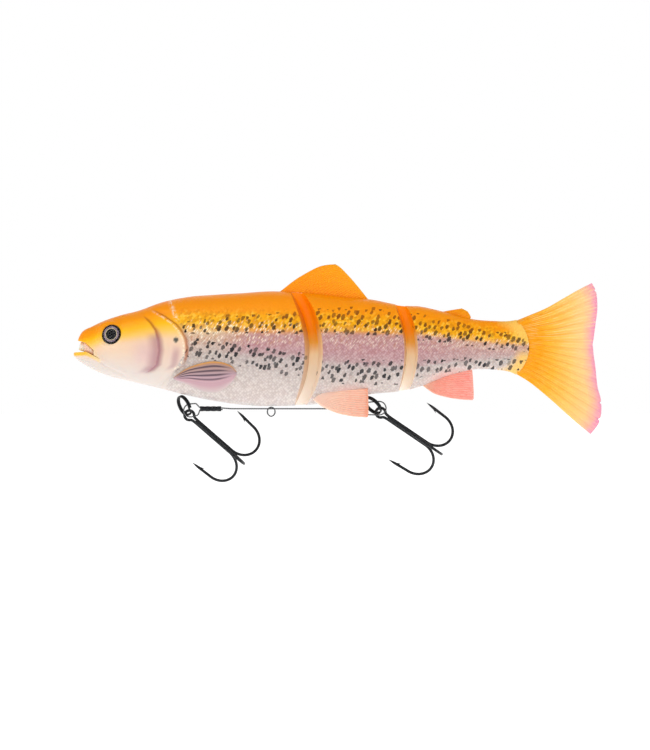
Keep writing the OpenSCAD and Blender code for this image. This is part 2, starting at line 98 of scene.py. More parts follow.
# head paint: x, then heights where orange, yellow and cream end, and where white begins
headLine = np.array([
    [-4, 2, 0.4, -1.6, -4], [3, 4.7, 2.1, -1.6, -6], [9, 8, 5.2, 1.2, -7.5],
    [14.3, 9.2, 5.2, 1.5, -9], [23, 11.2, 6.4, 2, -10.5], [30, 12.6, 8, 3, -12], [42, 13.4, 9, 3, -13],
])

# bands of flecks: x, upper centre and half height, lower centre and half height
fleckLine = np.array([
    [34, 7.8, 1.6, 0.5, 2.8], [42, 7.6, 2.6, -0.8, 3.8], [55, 8.6, 3.6, -2.2, 4.2], [70, 9.2, 4, -5.6, 4.6],
    [82, 9.4, 4.2, -7, 5], [92, 10, 4.8, -8.6, 5], [107, 9.6, 5.2, -9.6, 5], [122, 8.8, 5.3, -9.6, 4.8],
    [130, 7, 5, -7.6, 3.4], [142, 5.2, 4.4, -6.8, 2.6], [155, 2.6, 3.8, -6.4, 2.4], [168, 1, 3.4, -7, 2.4],
])

# edges of the gill plates as x over z, from the bottom up
cheekEdge = np.array([[-10.4, 22.5], [-8.9, 25.5], [-6.8, 28], [-1.25, 29], [2.6, 28.6], [6.4, 27.3],
                      [9.2, 25.3], [11.6, 22.8]])
gillEdge = np.array([[-9.4, 33.6], [-8.6, 35.6], [-6.8, 38.1], [-3.6, 39.3], [-0.7, 39.5], [2.8, 39.1],
                     [5.6, 37.7], [8.4, 35.6], [11.4, 31.2], [14.2, 26.3]])
scaleEdge = np.array([[-20, 31], [-14.7, 31.4], [-9.4, 34.6], [-0.7, 39.5], [4, 38.6], [8.4, 36.6],
                      [12, 34.9], [16.7, 33.2], [19, 32.4]])
mouthGap = [(-8, 3.4), (-2.4, 2.5), (1, 1.5), (4, -1.2), (6.6, -4.6), (4.1, -3.1), (1.1, -1.8), (-3.4, -2),
            (-8, -2.2)]
upperLip = np.array([(-2.6, 2.5), (1, 1.5), (4, -1.2), (6.6, -4.6)])
lowerLip = np.array([(-3.8, -2.1), (-1, -2), (1.1, -1.8), (4.1, -3.1), (6.6, -4.6)])
jawFold = np.array([(6.6, -4.6), (9.5, -6.6), (12.5, -8.2), (15.3, -9.4)])
throatFold = np.array([(35.2, -9.2), (32.6, -11.4), (30.4, -13.6), (29, -14.9)])


def smooth(table, x, column):
    # smooth cubic through the rows of a table
    x = np.asarray(x, float)
    rows = len(table)
    before = np.maximum(np.arange(rows) - 1, 0)
    after = np.minimum(np.arange(rows) + 1, rows - 1)
    slopes = (table[after, column] - table[before, column]) / (table[after, 0] - table[before, 0])
    i = np.clip(np.searchsorted(table[:, 0], x, side="right") - 1, 0, rows - 2)
    h = table[i + 1, 0] - table[i, 0]
    u = np.clip((x - table[i, 0]) / h, -1, 2)
    return ((2 * u**3 - 3 * u**2 + 1) * table[i, column] + (u**3 - 2 * u**2 + u) * h * slopes[i]
            + (3 * u**2 - 2 * u**3) * table[i + 1, column] + (u**3 - u**2) * h * slopes[i + 1])


def fade(low, high, value):
    t = np.clip((np.asarray(value, float) - low) / (high - low), 0, 1)
    return t * t * (3 - 2 * t)


def bump(value, centre, width):
    return np.exp(-((value - centre) / width) ** 2)


def signedPower(value, power):
    return np.sign(value) * np.abs(value) ** power


def onSkin(x, angle):
    # point of the body's skin at x and the section angle, 0 at the back
    top, bottom, half = (smooth(bodyLine, x, k) for k in (1, 2, 3))
    mid = (top + bottom) / 2
    power = 2 / lure["roundness"]
    return half * signedPower(np.sin(angle), power), mid + (top - mid) * signedPower(np.cos(angle), power)


def skinY(x, z):
    top, bottom = smooth(bodyLine, x, 1), smooth(bodyLine, x, 2)
    t = np.clip(np.abs(2 * z - top - bottom) / (top - bottom), 0, 1)
    return smooth(bodyLine, x, 3) * (1 - t ** lure["roundness"]) ** (1 / lure["roundness"])


def wallDistance(gap, y):
    depth = np.maximum(0, np.abs(y) - lure["webHalf"]) / (lure["wallHalf"] - lure["webHalf"])
    return lure["webGap"] + (gap - lure["webGap"]) * depth


def jointX(hinge, gap, side, y, z):
    # x of a joint's wall: side -1 is the wall in front of the hinge, 1 the wall behind it
    reach = lure["jointRadius"] + side * wallDistance(gap, y)
    return hinge - lure["jointRadius"] + np.sqrt(reach**2 - (z - lure["jointZ"]) ** 2)


def edgeOfSkin(hinge, gap, side, angle):
    x = np.full_like(angle, hinge)
    for step in range(12):
        y, z = onSkin(x, angle)
        x = jointX(hinge, gap, side, y, z)
    return x


def tailRootEdge(angle):
    x = np.full_like(angle, 166.0)
    for step in range(12):
        y, z = onSkin(x, angle)
        x = lure["tailRootX"] + np.sqrt(np.maximum(lure["tailRootR"] ** 2 - z**2, 9))
    return x


def distanceToLine(x, z, line):
    best = np.full(x.shape, 1e9)
    for (ax, az), (bx, bz) in zip(line[:-1], line[1:]):
        dx, dz = bx - ax, bz - az
        t = np.clip(((x - ax) * dx + (z - az) * dz) / (dx * dx + dz * dz), 0, 1)
        best = np.minimum(best, np.hypot(x - ax - t * dx, z - az - t * dz))
    return best


def lineAt(points, t):
    # smooth position along a line of points, t from 0 to 1 by length
    points = np.asarray(points, float)
    run = np.concatenate([[0], np.cumsum(np.linalg.norm(np.diff(points, axis=0), axis=1))])
    table = np.column_stack([run / run[-1], points])
    return np.column_stack([smooth(table, t, k + 1) for k in range(points.shape[1])])


def sheet(name, columns, rows, place, sharp=50, measures=None):
    # a grid laid over a shape: place takes u and v from 0 to 1 and gives millimetres;
    # measures gives numbers that the material reads
    grid = bmesh.new()
    bmesh.ops.create_grid(grid, x_segments=columns, y_segments=rows, size=0.5)
    flat = np.array([v.co[:2] for v in grid.verts])
    u, v = ((flat - flat.min(axis=0)) / (flat.max(axis=0) - flat.min(axis=0))).T
    kept = measures(u, v) if measures else {}
    for key in kept:
        grid.verts.layers.float.new(key)
    layers = [(grid.verts.layers.float[key], values) for key, values in kept.items()]
    for i, (vert, spot) in enumerate(zip(grid.verts, np.asarray(place(u, v)) * mm)):
        vert.co = spot
        for layer, values in layers:
            vert[layer] = values[i]
    bmesh.ops.remove_doubles(grid, verts=grid.verts, dist=2e-6)
    closeHoles(grid)
    bmesh.ops.dissolve_degenerate(grid, edges=grid.edges, dist=1e-7)
    return finished(grid, name, sharp)


def closeHoles(shape):
    bmesh.ops.holes_fill(shape, edges=[e for e in shape.edges if e.is_boundary], sides=0)


def smoothEdges(shape, sharp):
    for face in shape.faces:
        face.smooth = True
    for edge in shape.edges:
        edge.smooth = len(edge.link_faces) == 2 and edge.calc_face_angle(0) < math.radians(sharp)


def finished(shape, name, sharp=50):
    bmesh.ops.recalc_face_normals(shape, faces=shape.faces)
    smoothEdges(shape, sharp)
    mesh = bpy.data.meshes.new(name)
    shape.to_mesh(mesh)
    shape.free()
    piece = bpy.data.objects.new(name, mesh)
    scene.collection.objects.link(piece)
    return piece


def spotsOf(piece):
    flat = np.empty(len(piece.data.vertices) * 3)
    piece.data.vertices.foreach_get("co", flat)
    return flat.reshape(-1, 3) / mm


def moveSpots(piece, spots):
    piece.data.vertices.foreach_set("co", (spots * mm).ravel())
    piece.data.update()


def normalsOf(piece):
    flat = np.empty(len(piece.data.vertices) * 3)
    piece.data.vertex_normals.foreach_get("vector", flat)
    return flat.reshape(-1, 3)


def keep(piece, name, values):
    layer = piece.data.attributes.get(name) or piece.data.attributes.new(name, "FLOAT", "POINT")
    layer.data.foreach_set("value", np.asarray(values, np.float32))


def applyAll(piece):
    ready = bpy.data.meshes.new_from_object(piece.evaluated_get(bpy.context.evaluated_depsgraph_get()))
    piece.modifiers.clear()
    piece.data = ready


def cutAway(piece, cutter):
    cut = piece.modifiers.new("cut", "BOOLEAN")
    cut.object = cutter
    cut.operation = "DIFFERENCE"
    cut.solver = "EXACT"
    bpy.context.view_layer.update()
    applyAll(piece)
    bpy.data.objects.remove(cutter)


def wire(name, path, radii, sides=16, start=(0, 0, 1)):
    # round wire swept along a path without twist
    path = np.asarray(path, float)
    radii = np.broadcast_to(np.asarray(radii, float), (len(path),))
    ahead = np.gradient(path, axis=0)
    ahead /= np.linalg.norm(ahead, axis=1)[:, None]
    out = np.array(start, float)
    outs = []
    for direction in ahead:
        out = out - direction * (out @ direction)
        out /= np.linalg.norm(out)
        outs.append(out)
    outs = np.array(outs)
    across = np.cross(ahead, outs)

    def place(u, v):
        i = np.rint(u * (len(path) - 1)).astype(int)
        turn = 2 * math.pi * v
        return path[i] + radii[i][:, None] * (np.cos(turn)[:, None] * outs[i] + np.sin(turn)[:, None]
                                              * across[i])

    return sheet(name, len(path) - 1, sides, place, sharp=60)


def tone(red, green, blue):
    # a display colour as the linear value that the shader takes
    linear = [c / 255 / 12.92 if c <= 10 else ((c / 255 + 0.055) / 1.055) ** 2.4 for c in (red, green, blue)]
    return (*linear, 1.0)


class Finish:
    # one material, whose nodes are made by short calls
    def __init__(self, name):
        self.material = bpy.data.materials.new(name)
        self.material.use_nodes = True
        self.tree = self.material.node_tree
        self.shader = self.tree.nodes["Principled BSDF"]

    def put(self, socket, value):
        if hasattr(value, "is_output"):
            self.tree.links.new(value, socket)
        elif value is not None:
            socket.default_value = value

    def node(self, kind, inputs, **settings):
        made = self.tree.nodes.new("ShaderNode" + kind)
        for name, value in settings.items():
            setattr(made, name, value)
        for name, value in inputs.items():
            self.put(made.inputs[name], value)
        return made

    def math(self, how, *values):
        return self.node("Math", dict(enumerate(values)), operation=how).outputs[0]

    def times(self, first, *others):
        for value in others:
            first = self.math("MULTIPLY", first, value)
        return first

    def attribute(self, name):
        return self.node("Attribute", {}, attribute_name=name).outputs["Fac"]

    def place(self):
        # position on the piece in millimetres
        spot = self.node("TexCoord", {}).outputs["Object"]
        return self.node("Mapping", {"Vector": spot, "Scale": (1 / mm,) * 3}).outputs[0]

    def stretch(self, vector, size, turn=0):
        # size of the pattern along its own axes, which are turned about z
        inputs = {"Vector": vector, "Scale": size, "Rotation": (0, 0, math.radians(turn))}
        return self.node("Mapping", inputs, vector_type="TEXTURE").outputs[0]

    def split(self, vector):
        return self.node("SeparateXYZ", {0: vector}).outputs

    def join(self, x, y):
        return self.node("CombineXYZ", {0: x, 1: y}).outputs[0]

    def noise(self, vector, scale, detail=2.0, rough=0.5, flat=False, output="Fac"):
        inputs = {"Vector": vector, "Scale": scale, "Detail": detail, "Roughness": rough}
        return self.node("TexNoise", inputs, noise_dimensions="2D" if flat else "3D").outputs[output]

    def cells(self, vector, randomness):
        inputs = {"Vector": vector, "Scale": 1.0, "Randomness": randomness}
        return self.node("TexVoronoi", inputs, voronoi_dimensions="2D").outputs

    def shift(self, vector, amount, scale):
        # pushes a flat pattern about by a soft noise
        push = self.noise(vector, scale, output="Color")
        inputs = {0: push, 1: (amount, amount, 0), 2: vector}
        return self.node("VectorMath", inputs, operation="MULTIPLY_ADD").outputs[0]

    def ramp(self, value, *stops):
        # each stop is its position, then red, green and blue
        node = self.node("ValToRGB", {"Fac": value})
        points = node.color_ramp.elements
        while len(points) < len(stops):
            points.new(0.5)
        for point, (spot, *colour) in zip(points, stops):
            point.position = spot
            point.color = tone(*colour)
        return node.outputs["Color"]

    def between(self, value, low, high, start=0.0, stop=1.0):
        inputs = dict(enumerate((value, low, high, start, stop)))
        return self.node("MapRange", inputs, interpolation_type="SMOOTHSTEP").outputs[0]

    def mix(self, amount, first, second):
        return self.node("Mix", {0: amount, 6: first, 7: second}, data_type="RGBA").outputs[2]

    def relief(self, height, depth, strength, below=None):
        inputs = {"Strength": strength, "Distance": depth * mm, "Height": height, "Normal": below}
        return self.node("Bump", inputs).outputs[0]

    def finish(self, colour, normal, roughness, **fixed):
        fixed.update(Base_Color=colour, Normal=normal, Roughness=roughness)
        for name, value in fixed.items():
            self.put(self.shader.inputs[name.replace("_", " ")], value)
        return self.material


def dress(piece, material):
    piece.data.materials.clear()
    piece.data.materials.append(material)


def fit(piece, material, body, node):
    # material, moving body, and the node that the piece stands for
    dress(piece, material)
    if body:
        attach(piece, body)
    if node:
        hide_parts(node)


def softPlastic(finish, colour, normal, roughness):
    return finish.finish(colour, normal, roughness, Subsurface_Weight=0.18, Subsurface_Scale=0.0015,
                         Subsurface_Radius=(1.0, 0.5, 0.3), Specular_IOR_Level=0.15, Coat_Weight=0.02,
                         Coat_Roughness=0.2)


skin = {
    "fleckSize": 2.45,       # spacing of the flecks in mm
    "scaleSize": 0.95,       # pitch of the moulded scales in mm
    "scaleDepth": 0.16,
    "glitter": 0.5,
    "fineTo": 42.0, "fineShare": 0.70,       # the head's share of the front section's columns
    "frontColumns": 210, "middleColumns": 100, "tailColumns": 110,
    "rows": 208, "wallRows": 12, "sharp": 42,
}


def makeTroutSkin():
    f = Finish("troutSkin")
    spot = f.place()
    x, y, z = f.split(spot)
    side = f.math("SIGN", y)
    flank = f.join(x, z)
    sided = f.join(f.math("MULTIPLY_ADD", side, 37.0, x), z)
    paint, head = f.attribute("paint"), f.attribute("head")
    wander = f.math("MULTIPLY_ADD", f.noise(flank, 0.35, 3.0, flat=True), 0.05, -0.025)
    level = f.math("ADD", paint, wander)

    body = f.ramp(level,
        (0, 218, 210, 206), (0.1, 211, 201, 195), (0.2, 200, 190, 184),
        (0.3, 186, 174, 170), (0.335, 184, 150, 152), (0.4, 181, 127, 134),
        (0.485, 187, 132, 130), (0.53, 214, 148, 96), (0.6, 234, 172, 70),
        (0.665, 242, 172, 12), (0.74, 248, 164, 4), (0.81, 254, 152, 0), (1, 255, 147, 0),
    )
    pale = f.ramp(level,
        (0, 218, 210, 206), (0.12, 209, 199, 193), (0.3, 192, 182, 174),
        (0.42, 198, 168, 150), (0.52, 226, 190, 144), (0.6, 244, 204, 116),
        (0.665, 248, 186, 16), (0.74, 250, 170, 4), (0.81, 254, 152, 0), (1, 255, 147, 0),
    )
    colour = f.mix(f.attribute("mauve"), pale, body)

    # moulded scales: slightly uneven diamonds, each with its own foil brightness
    scales = f.cells(f.stretch(flank, (skin["scaleSize"], skin["scaleSize"] * 0.8, 1), 45), 0.5)
    rows = f.math("SUBTRACT", 1.0, scales["Distance"])
    scaly = f.math("SUBTRACT", 1.0, head)
    sparkle = f.split(scales["Color"])[0]

    # foil glitter under the clear coat, strongest in the gold band
    gold = f.times(f.between(level, 0.50, 0.60), f.between(level, 0.86, 0.74))
    glitterMask = f.times(gold, scaly, skin["glitter"])
    glitter = f.ramp(sparkle, (0, 176, 108, 4), (0.35, 222, 142, 2), (0.75, 248, 180, 6), (1, 255, 218, 84))
    colour = f.mix(glitterMask, colour, glitter)

    # short slanted glints behind the gill plate and above the stripe
    strokes = f.cells(f.stretch(flank, (2.3, 0.62, 1), 56), 0.9)
    glintBand = f.times(f.between(level, 0.36, 0.46), f.between(level, 0.72, 0.60))
    glintZone = f.times(f.times(glintBand, scaly), f.attribute("glints"))
    lightStroke = f.times(f.between(strokes["Distance"], 0.42, 0.10),
                          f.between(f.split(strokes["Color"])[1], 0.35, 0.6))
    darkStroke = f.times(f.between(strokes["Distance"], 0.55, 0.15),
                         f.between(f.split(strokes["Color"])[1], 0.4, 0.15))
    colour = f.mix(f.times(darkStroke, glintZone, 0.75), colour, tone(196, 128, 66))
    colour = f.mix(f.times(lightStroke, glintZone), colour, tone(255, 240, 214))

    # each scale a little darker at its edges and lighter at its middle, with a random tone of its own, in the
    # pale lower bands
    fine = f.between(f.math("ADD", f.math("MULTIPLY_ADD", rows, 1.6, -1.1),
                            f.math("MULTIPLY_ADD", sparkle, 1.0, -0.5)), -0.8, 0.8, 0.0, 1.0)
    low = f.times(f.between(level, 0.56, 0.48), scaly)
    colour = f.mix(f.times(f.math("SUBTRACT", 1.0, fine), f.times(low, 0.28)), colour, tone(150, 118, 116))
    colour = f.mix(f.times(fine, f.times(low, 0.22)), colour, tone(247, 236, 232))

    # head: smooth airbrushed fade
    headColour = f.ramp(f.attribute("headPaint"),
        (0, 212, 207, 203), (0.2, 219, 206, 197), (0.4, 237, 204, 172),
        (0.58, 248, 198, 92), (0.72, 254, 186, 16), (0.86, 255, 156, 0), (1, 255, 144, 0),
    )
    headColour = f.mix(f.attribute("blush"), headColour, tone(212, 174, 182))
    colour = f.mix(head, colour, headColour)
    colour = f.mix(f.attribute("mauveShade"), colour, tone(160, 104, 120))
    colour = f.mix(f.attribute("rimShade"), colour, tone(184, 96, 24))
    # painted highlight along the raised gill plate's edge, broken into patches by noise; the same mark
    # carries the whitish flecks where the scales begin
    patchy = f.between(f.noise(flank, 1.1, 3.0, flat=True), 0.42, 0.56)
    colour = f.mix(f.times(f.attribute("rimHighlightAndFlecks"), patchy), colour, tone(252, 236, 208))
    colour = f.mix(f.attribute("lip"), colour,
                   f.mix(f.between(x, 0.0, 5.5), tone(246, 186, 36), tone(240, 206, 150)))
    colour = f.mix(f.attribute("inside"), colour, tone(232, 214, 190))
    colour = f.mix(f.attribute("finBlush"), colour, tone(236, 176, 168))
    colour = f.mix(f.attribute("rootGlow"), colour, tone(250, 200, 96))
    gillSpot = f.times(f.attribute("gillSpot"),
                       f.between(f.noise(flank, 1.2, 2.0, flat=True), 0.1, 0.3, 0.75, 1.0))
    colour = f.mix(gillSpot, colour, tone(84, 84, 76))

    # joint walls: no foil, orange above and cream below
    wallColour = f.ramp(paint,
        (0, 246, 234, 222), (0.3, 244, 224, 198), (0.45, 238, 204, 150),
        (0.58, 234, 170, 66), (0.68, 244, 152, 14), (0.82, 255, 144, 0), (1, 255, 142, 0),
    )
    wallColour = f.mix(f.attribute("shadeWall"), wallColour, tone(168, 108, 48))
    colour = f.mix(f.attribute("wall"), colour, wallColour)

    # flecks: ragged, slanted, brown in the gold and black below
    ragged = f.shift(sided, 1.1, 1.15)
    slanted = f.stretch(ragged, (1.3 * skin["fleckSize"], 0.8 * skin["fleckSize"], 1), 62)
    fleck = f.cells(slanted, 0.95)
    chance = f.split(fleck["Color"])
    dense = f.attribute("flecks")
    shown = f.between(f.math("SUBTRACT", dense, chance[0]), 0.0, 0.05)
    size = f.math("MULTIPLY_ADD", chance[1], 0.16, 0.23)
    blot = f.between(f.math("SUBTRACT", size, fleck["Distance"]), -0.035, 0.05)
    darkness = f.math("MULTIPLY_ADD", chance[2], 0.3, 0.7)
    fleckMask = f.times(shown, blot, darkness)
    fleckColour = f.ramp(level, (0.3, 44, 44, 46), (0.52, 38, 30, 30), (0.66, 80, 54, 14), (0.8, 150, 84, 8))
    colour = f.mix(fleckMask, colour, fleckColour)

    scaleHeight = f.times(rows, f.times(scaly, f.math("SUBTRACT", 1.0, f.attribute("wall"))))
    normal = f.relief(scaleHeight, skin["scaleDepth"], 0.6)
    normal = f.relief(f.noise(spot, 1.6, 4.0, 0.6), 0.12, 0.25, normal)
    rough = f.math("MULTIPLY_ADD", sparkle, 0.12, 0.30)
    # painted light: the joint walls glow faintly in their wall colour, lifting the shade in the gaps
    f.put(f.shader.inputs["Emission Color"], f.mix(f.attribute("wall"), tone(0, 0, 0), wallColour))
    f.shader.inputs["Emission Strength"].default_value = 0.10
    return softPlastic(f, colour, normal, rough)


def sectionSkin(name, columns, startOf, endOf, startWall=None, endWall=None, spread=None):
    # skin between two end curves; an end at a joint gets its sloping wall down to the middle plane
    wallRows = skin["wallRows"]
    front = wallRows if startWall else 0
    total = front + columns + (wallRows if endWall else 0)

    def place(u, v):
        angle, step = 2 * math.pi * v, u * total
        along = np.clip((step - front) / columns, 0, 1)
        x0, x1 = startOf(angle), endOf(angle)
        x = spread(x0, x1, along) if spread else x0 + (x1 - x0) * along
        y, z = onSkin(x, angle)
        for wall, depth in ((startWall, (front - step) / wallRows),
                            (endWall, (step - front - columns) / wallRows)):
            if wall:
                inward = y * (1 - np.clip(depth, 0, 1))
                x = np.where(depth > 0, jointX(*wall, inward, z), x)
                y = np.where(depth > 0, inward, y)
        return np.column_stack([x, y, z])

    return sheet(name, total, skin["rows"], place, skin["sharp"])


def paintSkin(piece, inside=None):
    spots = spotsOf(piece)
    x, y, z = spots.T
    levels = [np.interp(x, paintLine[:, 0], paintLine[:, k]) for k in (5, 4, 3, 2, 1)]
    marks = (0.12, 0.32, 0.50, 0.66, 0.80)
    level = 0.12 + (z - levels[0]) / (levels[0] + 24) * 0.12
    for k in range(4):
        t = (z - levels[k]) / (levels[k + 1] - levels[k])
        level = np.where(z > levels[k], marks[k] + np.clip(t, 0, 1) * (marks[k + 1] - marks[k]), level)
    level = np.where(z > levels[4], 0.80 + (z - levels[4]) / 9 * 0.2, level)
    keep(piece, "paint", np.clip(level, 0, 1))

    heights = [np.interp(x, headLine[:, 0], headLine[:, k]) for k in (4, 3, 2, 1)]
    headLevel = 0.18 + (z - heights[0]) / 12 * 0.18
    for k, (a, b) in enumerate(((0.18, 0.42), (0.42, 0.68), (0.68, 0.86))):
        t = (z - heights[k]) / (heights[k + 1] - heights[k])
        headLevel = np.where(z > heights[k], a + np.clip(t, 0, 1) * (b - a), headLevel)
    headLevel = np.where(z > heights[3], 0.86 + (z - heights[3]) / 5 * 0.14, headLevel)
    keep(piece, "headPaint", np.clip(headLevel, 0, 1))

    scaleX = np.interp(z, scaleEdge[:, 0], scaleEdge[:, 1])
    head = fade(0.35, -0.35, x - scaleX)
    keep(piece, "head", head)
    keep(piece, "mauve", fade(48, 66, x) * (1 - 0.45 * fade(120, 158, x)))
    keep(piece, "glints", fade(0, 3, x - scaleX) * (1 - 0.45 * fade(60, 90, x)))

    cheekX = np.interp(z, cheekEdge[:, 0], cheekEdge[:, 1])
    gillX = np.interp(z, gillEdge[:, 0], gillEdge[:, 1])
    onCheek = fade(-10.6, -8.4, z) * fade(12.2, 10, z)
    onGill = fade(-9.6, -8, z) * fade(14.6, 12, z)
    behindCheek, behindGill = x - cheekX, x - gillX
    flank = np.abs(y) > 1.5
    low = fade(9, 4, z)
    mauveShade = 0.62 * onCheek * low * fade(-5.2, -0.6, behindCheek) * fade(0.9, -0.2,
                                                                             behindCheek) * fade(6.5, 2.5, z)
    mauveShade = mauveShade + 0.6 * onCheek * low * fade(-0.5, 0.1, behindCheek) * fade(2.6, 0.8, behindCheek)
    crescent = fade(2.2, 0.2, np.abs(behindCheek - 6.6)) * fade(-9.5, -7, z) * fade(1.5, -3, z)
    mauveShade = mauveShade + 0.42 * crescent * fade(0.5, -1, behindGill)
    keep(piece, "mauveShade", np.clip(mauveShade, 0, 0.8) * flank)
    rim = 0.75 * onCheek * fade(-0.15, 0.25, behindCheek) * fade(1.5, 0.4, behindCheek) * fade(2, 7, z)
    rim = rim + 0.62 * onGill * fade(-0.9, -0.3, behindGill) * fade(1.0, 0.3, behindGill) * fade(-8, -3, z)
    keep(piece, "rimShade", np.clip(rim, 0, 0.8) * flank)
    # painted highlight on the raised edge of the gill plate, plus real whitish flecks at the front of the
    # scales
    rimHighlightAndFlecks = 0.6 * onGill * fade(-1.9, -1.2, behindGill) * fade(-0.5, -0.9, behindGill)
    speckle = bump(x - scaleX, 0, 0.7) * fade(9, 11, z)
    keep(piece, "rimHighlightAndFlecks", np.clip(rimHighlightAndFlecks + 0.6 * speckle, 0, 1) * flank)
    blush = 0.55 * bump(x, 24, 5.0) * bump(z, -2.2, 5.5) * fade(0.5, -0.5, behindCheek)
    blush = blush + 0.3 * bump(x, 35, 3.5) * bump(z, -3, 5)
    keep(piece, "blush", np.clip(blush, 0, 1))

    underLip = distanceToLine(x, z, lowerLip)
    overLip = distanceToLine(x, z, upperLip)
    lip = 0.95 * fade(1.7, 0.9, underLip) * (z < np.interp(x, lowerLip[:, 0], lowerLip[:, 1])
                                             + 0.3) * fade(7.5, 5.5, x)
    lip = np.maximum(lip, 0.45 * fade(1.0, 0.4, overLip) * fade(7, 4, x))
    keep(piece, "lip", lip)

    upperC, upperH, lowerC, lowerH = (np.interp(x, fleckLine[:, 0], fleckLine[:, k]) for k in (1, 2, 3, 4))
    dense = np.maximum(fade(1.15, 0.7, np.abs(z - upperC) / upperH) * 0.97,
                       fade(1.15, 0.65, np.abs(z - lowerC) / lowerH) * 0.97)
    dense = dense * fade(-0.2, 1.2, x - scaleX)
    gillSpot = fade(1.15, 0.75, np.hypot(x - 35.4, z - 2.7))
    keep(piece, "gillSpot", gillSpot)
    walls = np.zeros(len(x))
    for hinge, gap in ((lure["frontHinge"], lure["frontGap"]), (lure["rearHinge"], lure["rearGap"])):
        radius = np.hypot(x - hinge + lure["jointRadius"], z - lure["jointZ"]) - lure["jointRadius"]
        walls = np.maximum(walls, fade(wallDistance(gap, y) + 0.12, wallDistance(gap, y) - 0.02,
                                       np.abs(radius)) * (np.abs(x - hinge) < 9))
    wallMask = walls * fade(0.99, 0.965, np.abs(y) / np.maximum(skinY(x, z), 0.5))
    keep(piece, "wall", np.where(walls > 0.5, np.maximum(wallMask, 0.0), 0))
    keep(piece, "flecks", dense * (1 - np.where(walls > 0.5, 0.85 * wallMask, 0)))
    shadeWall = np.where((walls > 0.5) & ((np.abs(x - lure["frontHinge"]) < 9)
                                          | (np.abs(x - lure["rearHinge"]) < 9)), 0.55, 0)
    ahead = np.where(np.abs(x - lure["frontHinge"]) < 9,
                     np.hypot(x - lure["frontHinge"] + lure["jointRadius"], z - lure["jointZ"]),
                     np.hypot(x - lure["rearHinge"] + lure["jointRadius"], z
                              - lure["jointZ"])) < lure["jointRadius"]
    keep(piece, "shadeWall", shadeWall * ahead)
    rootGlow = 0.85 * fade(6.4, 1.8, lure["tailRootR"]
                           - np.hypot(x - lure["tailRootX"], z)) * (x > 157) * fade(-2, 3, np.abs(z) - 1.5)
    keep(piece, "rootGlow", rootGlow)
    overPelvic = bump(x, 101, 6.5) * bump(z, -17.5, 2.6)
    overAnal = bump(x, 137, 6) * bump(z, -12.8 + 0.33 * (x - 130), 1.8)
    keep(piece, "finBlush", 0.6 * (overPelvic + overAnal))
    keep(piece, "inside", inside(x, y, z) if inside else np.zeros(len(x)))


def headRelief(x, z):
    cheekX = np.interp(z, cheekEdge[:, 0], cheekEdge[:, 1])
    gillX = np.interp(z, gillEdge[:, 0], gillEdge[:, 1])
    onCheek = fade(-10.8, -8.6, z) * fade(12.4, 9.6, z)
    onGill = fade(-9.8, -8.2, z) * fade(14.8, 12, z)
    behindCheek, behindGill = x - cheekX, x - gillX
    out = 0.45 * onCheek * fade(-7, -0.5, behindCheek) * (behindCheek < 0)
    out = out - 0.42 * onCheek * fade(-0.25, 0.3, behindCheek) * fade(4.5, 0.6, behindCheek)
    out = np.where(behindCheek >= 0, out + 0.45 * onCheek * fade(0.45, 0.0, behindCheek), out)
    out = out + 0.40 * onGill * fade(-6, -0.6, behindGill) * fade(0.35, -0.2, behindGill)
    out = out - 0.55 * onGill * fade(-0.1, 0.4, behindGill) * fade(7, 0.8, behindGill)
    out = out - 0.45 * bump(distanceToLine(x, z, throatFold), 0, 0.55)
    out = out + 0.28 * bump(distanceToLine(x, z, jawFold), 0,
                            0.9) - 0.30 * bump(distanceToLine(x, z + 1.2, jawFold), 0, 0.5)
    out = out + 0.30 * bump(distanceToLine(x, z, lowerLip), 0.5, 0.8) * (x < 8)
    eyeX, eyeZ = 9.9, 4.75
    ring = np.hypot(x - eyeX, z - eyeZ)
    out = out + 0.35 * bump(ring, 4.5, 0.75)
    out = out - 0.22 * bump(np.hypot(x - 17, z - 5.5), 0, 3.2)
    return out


trout = makeTroutSkin()


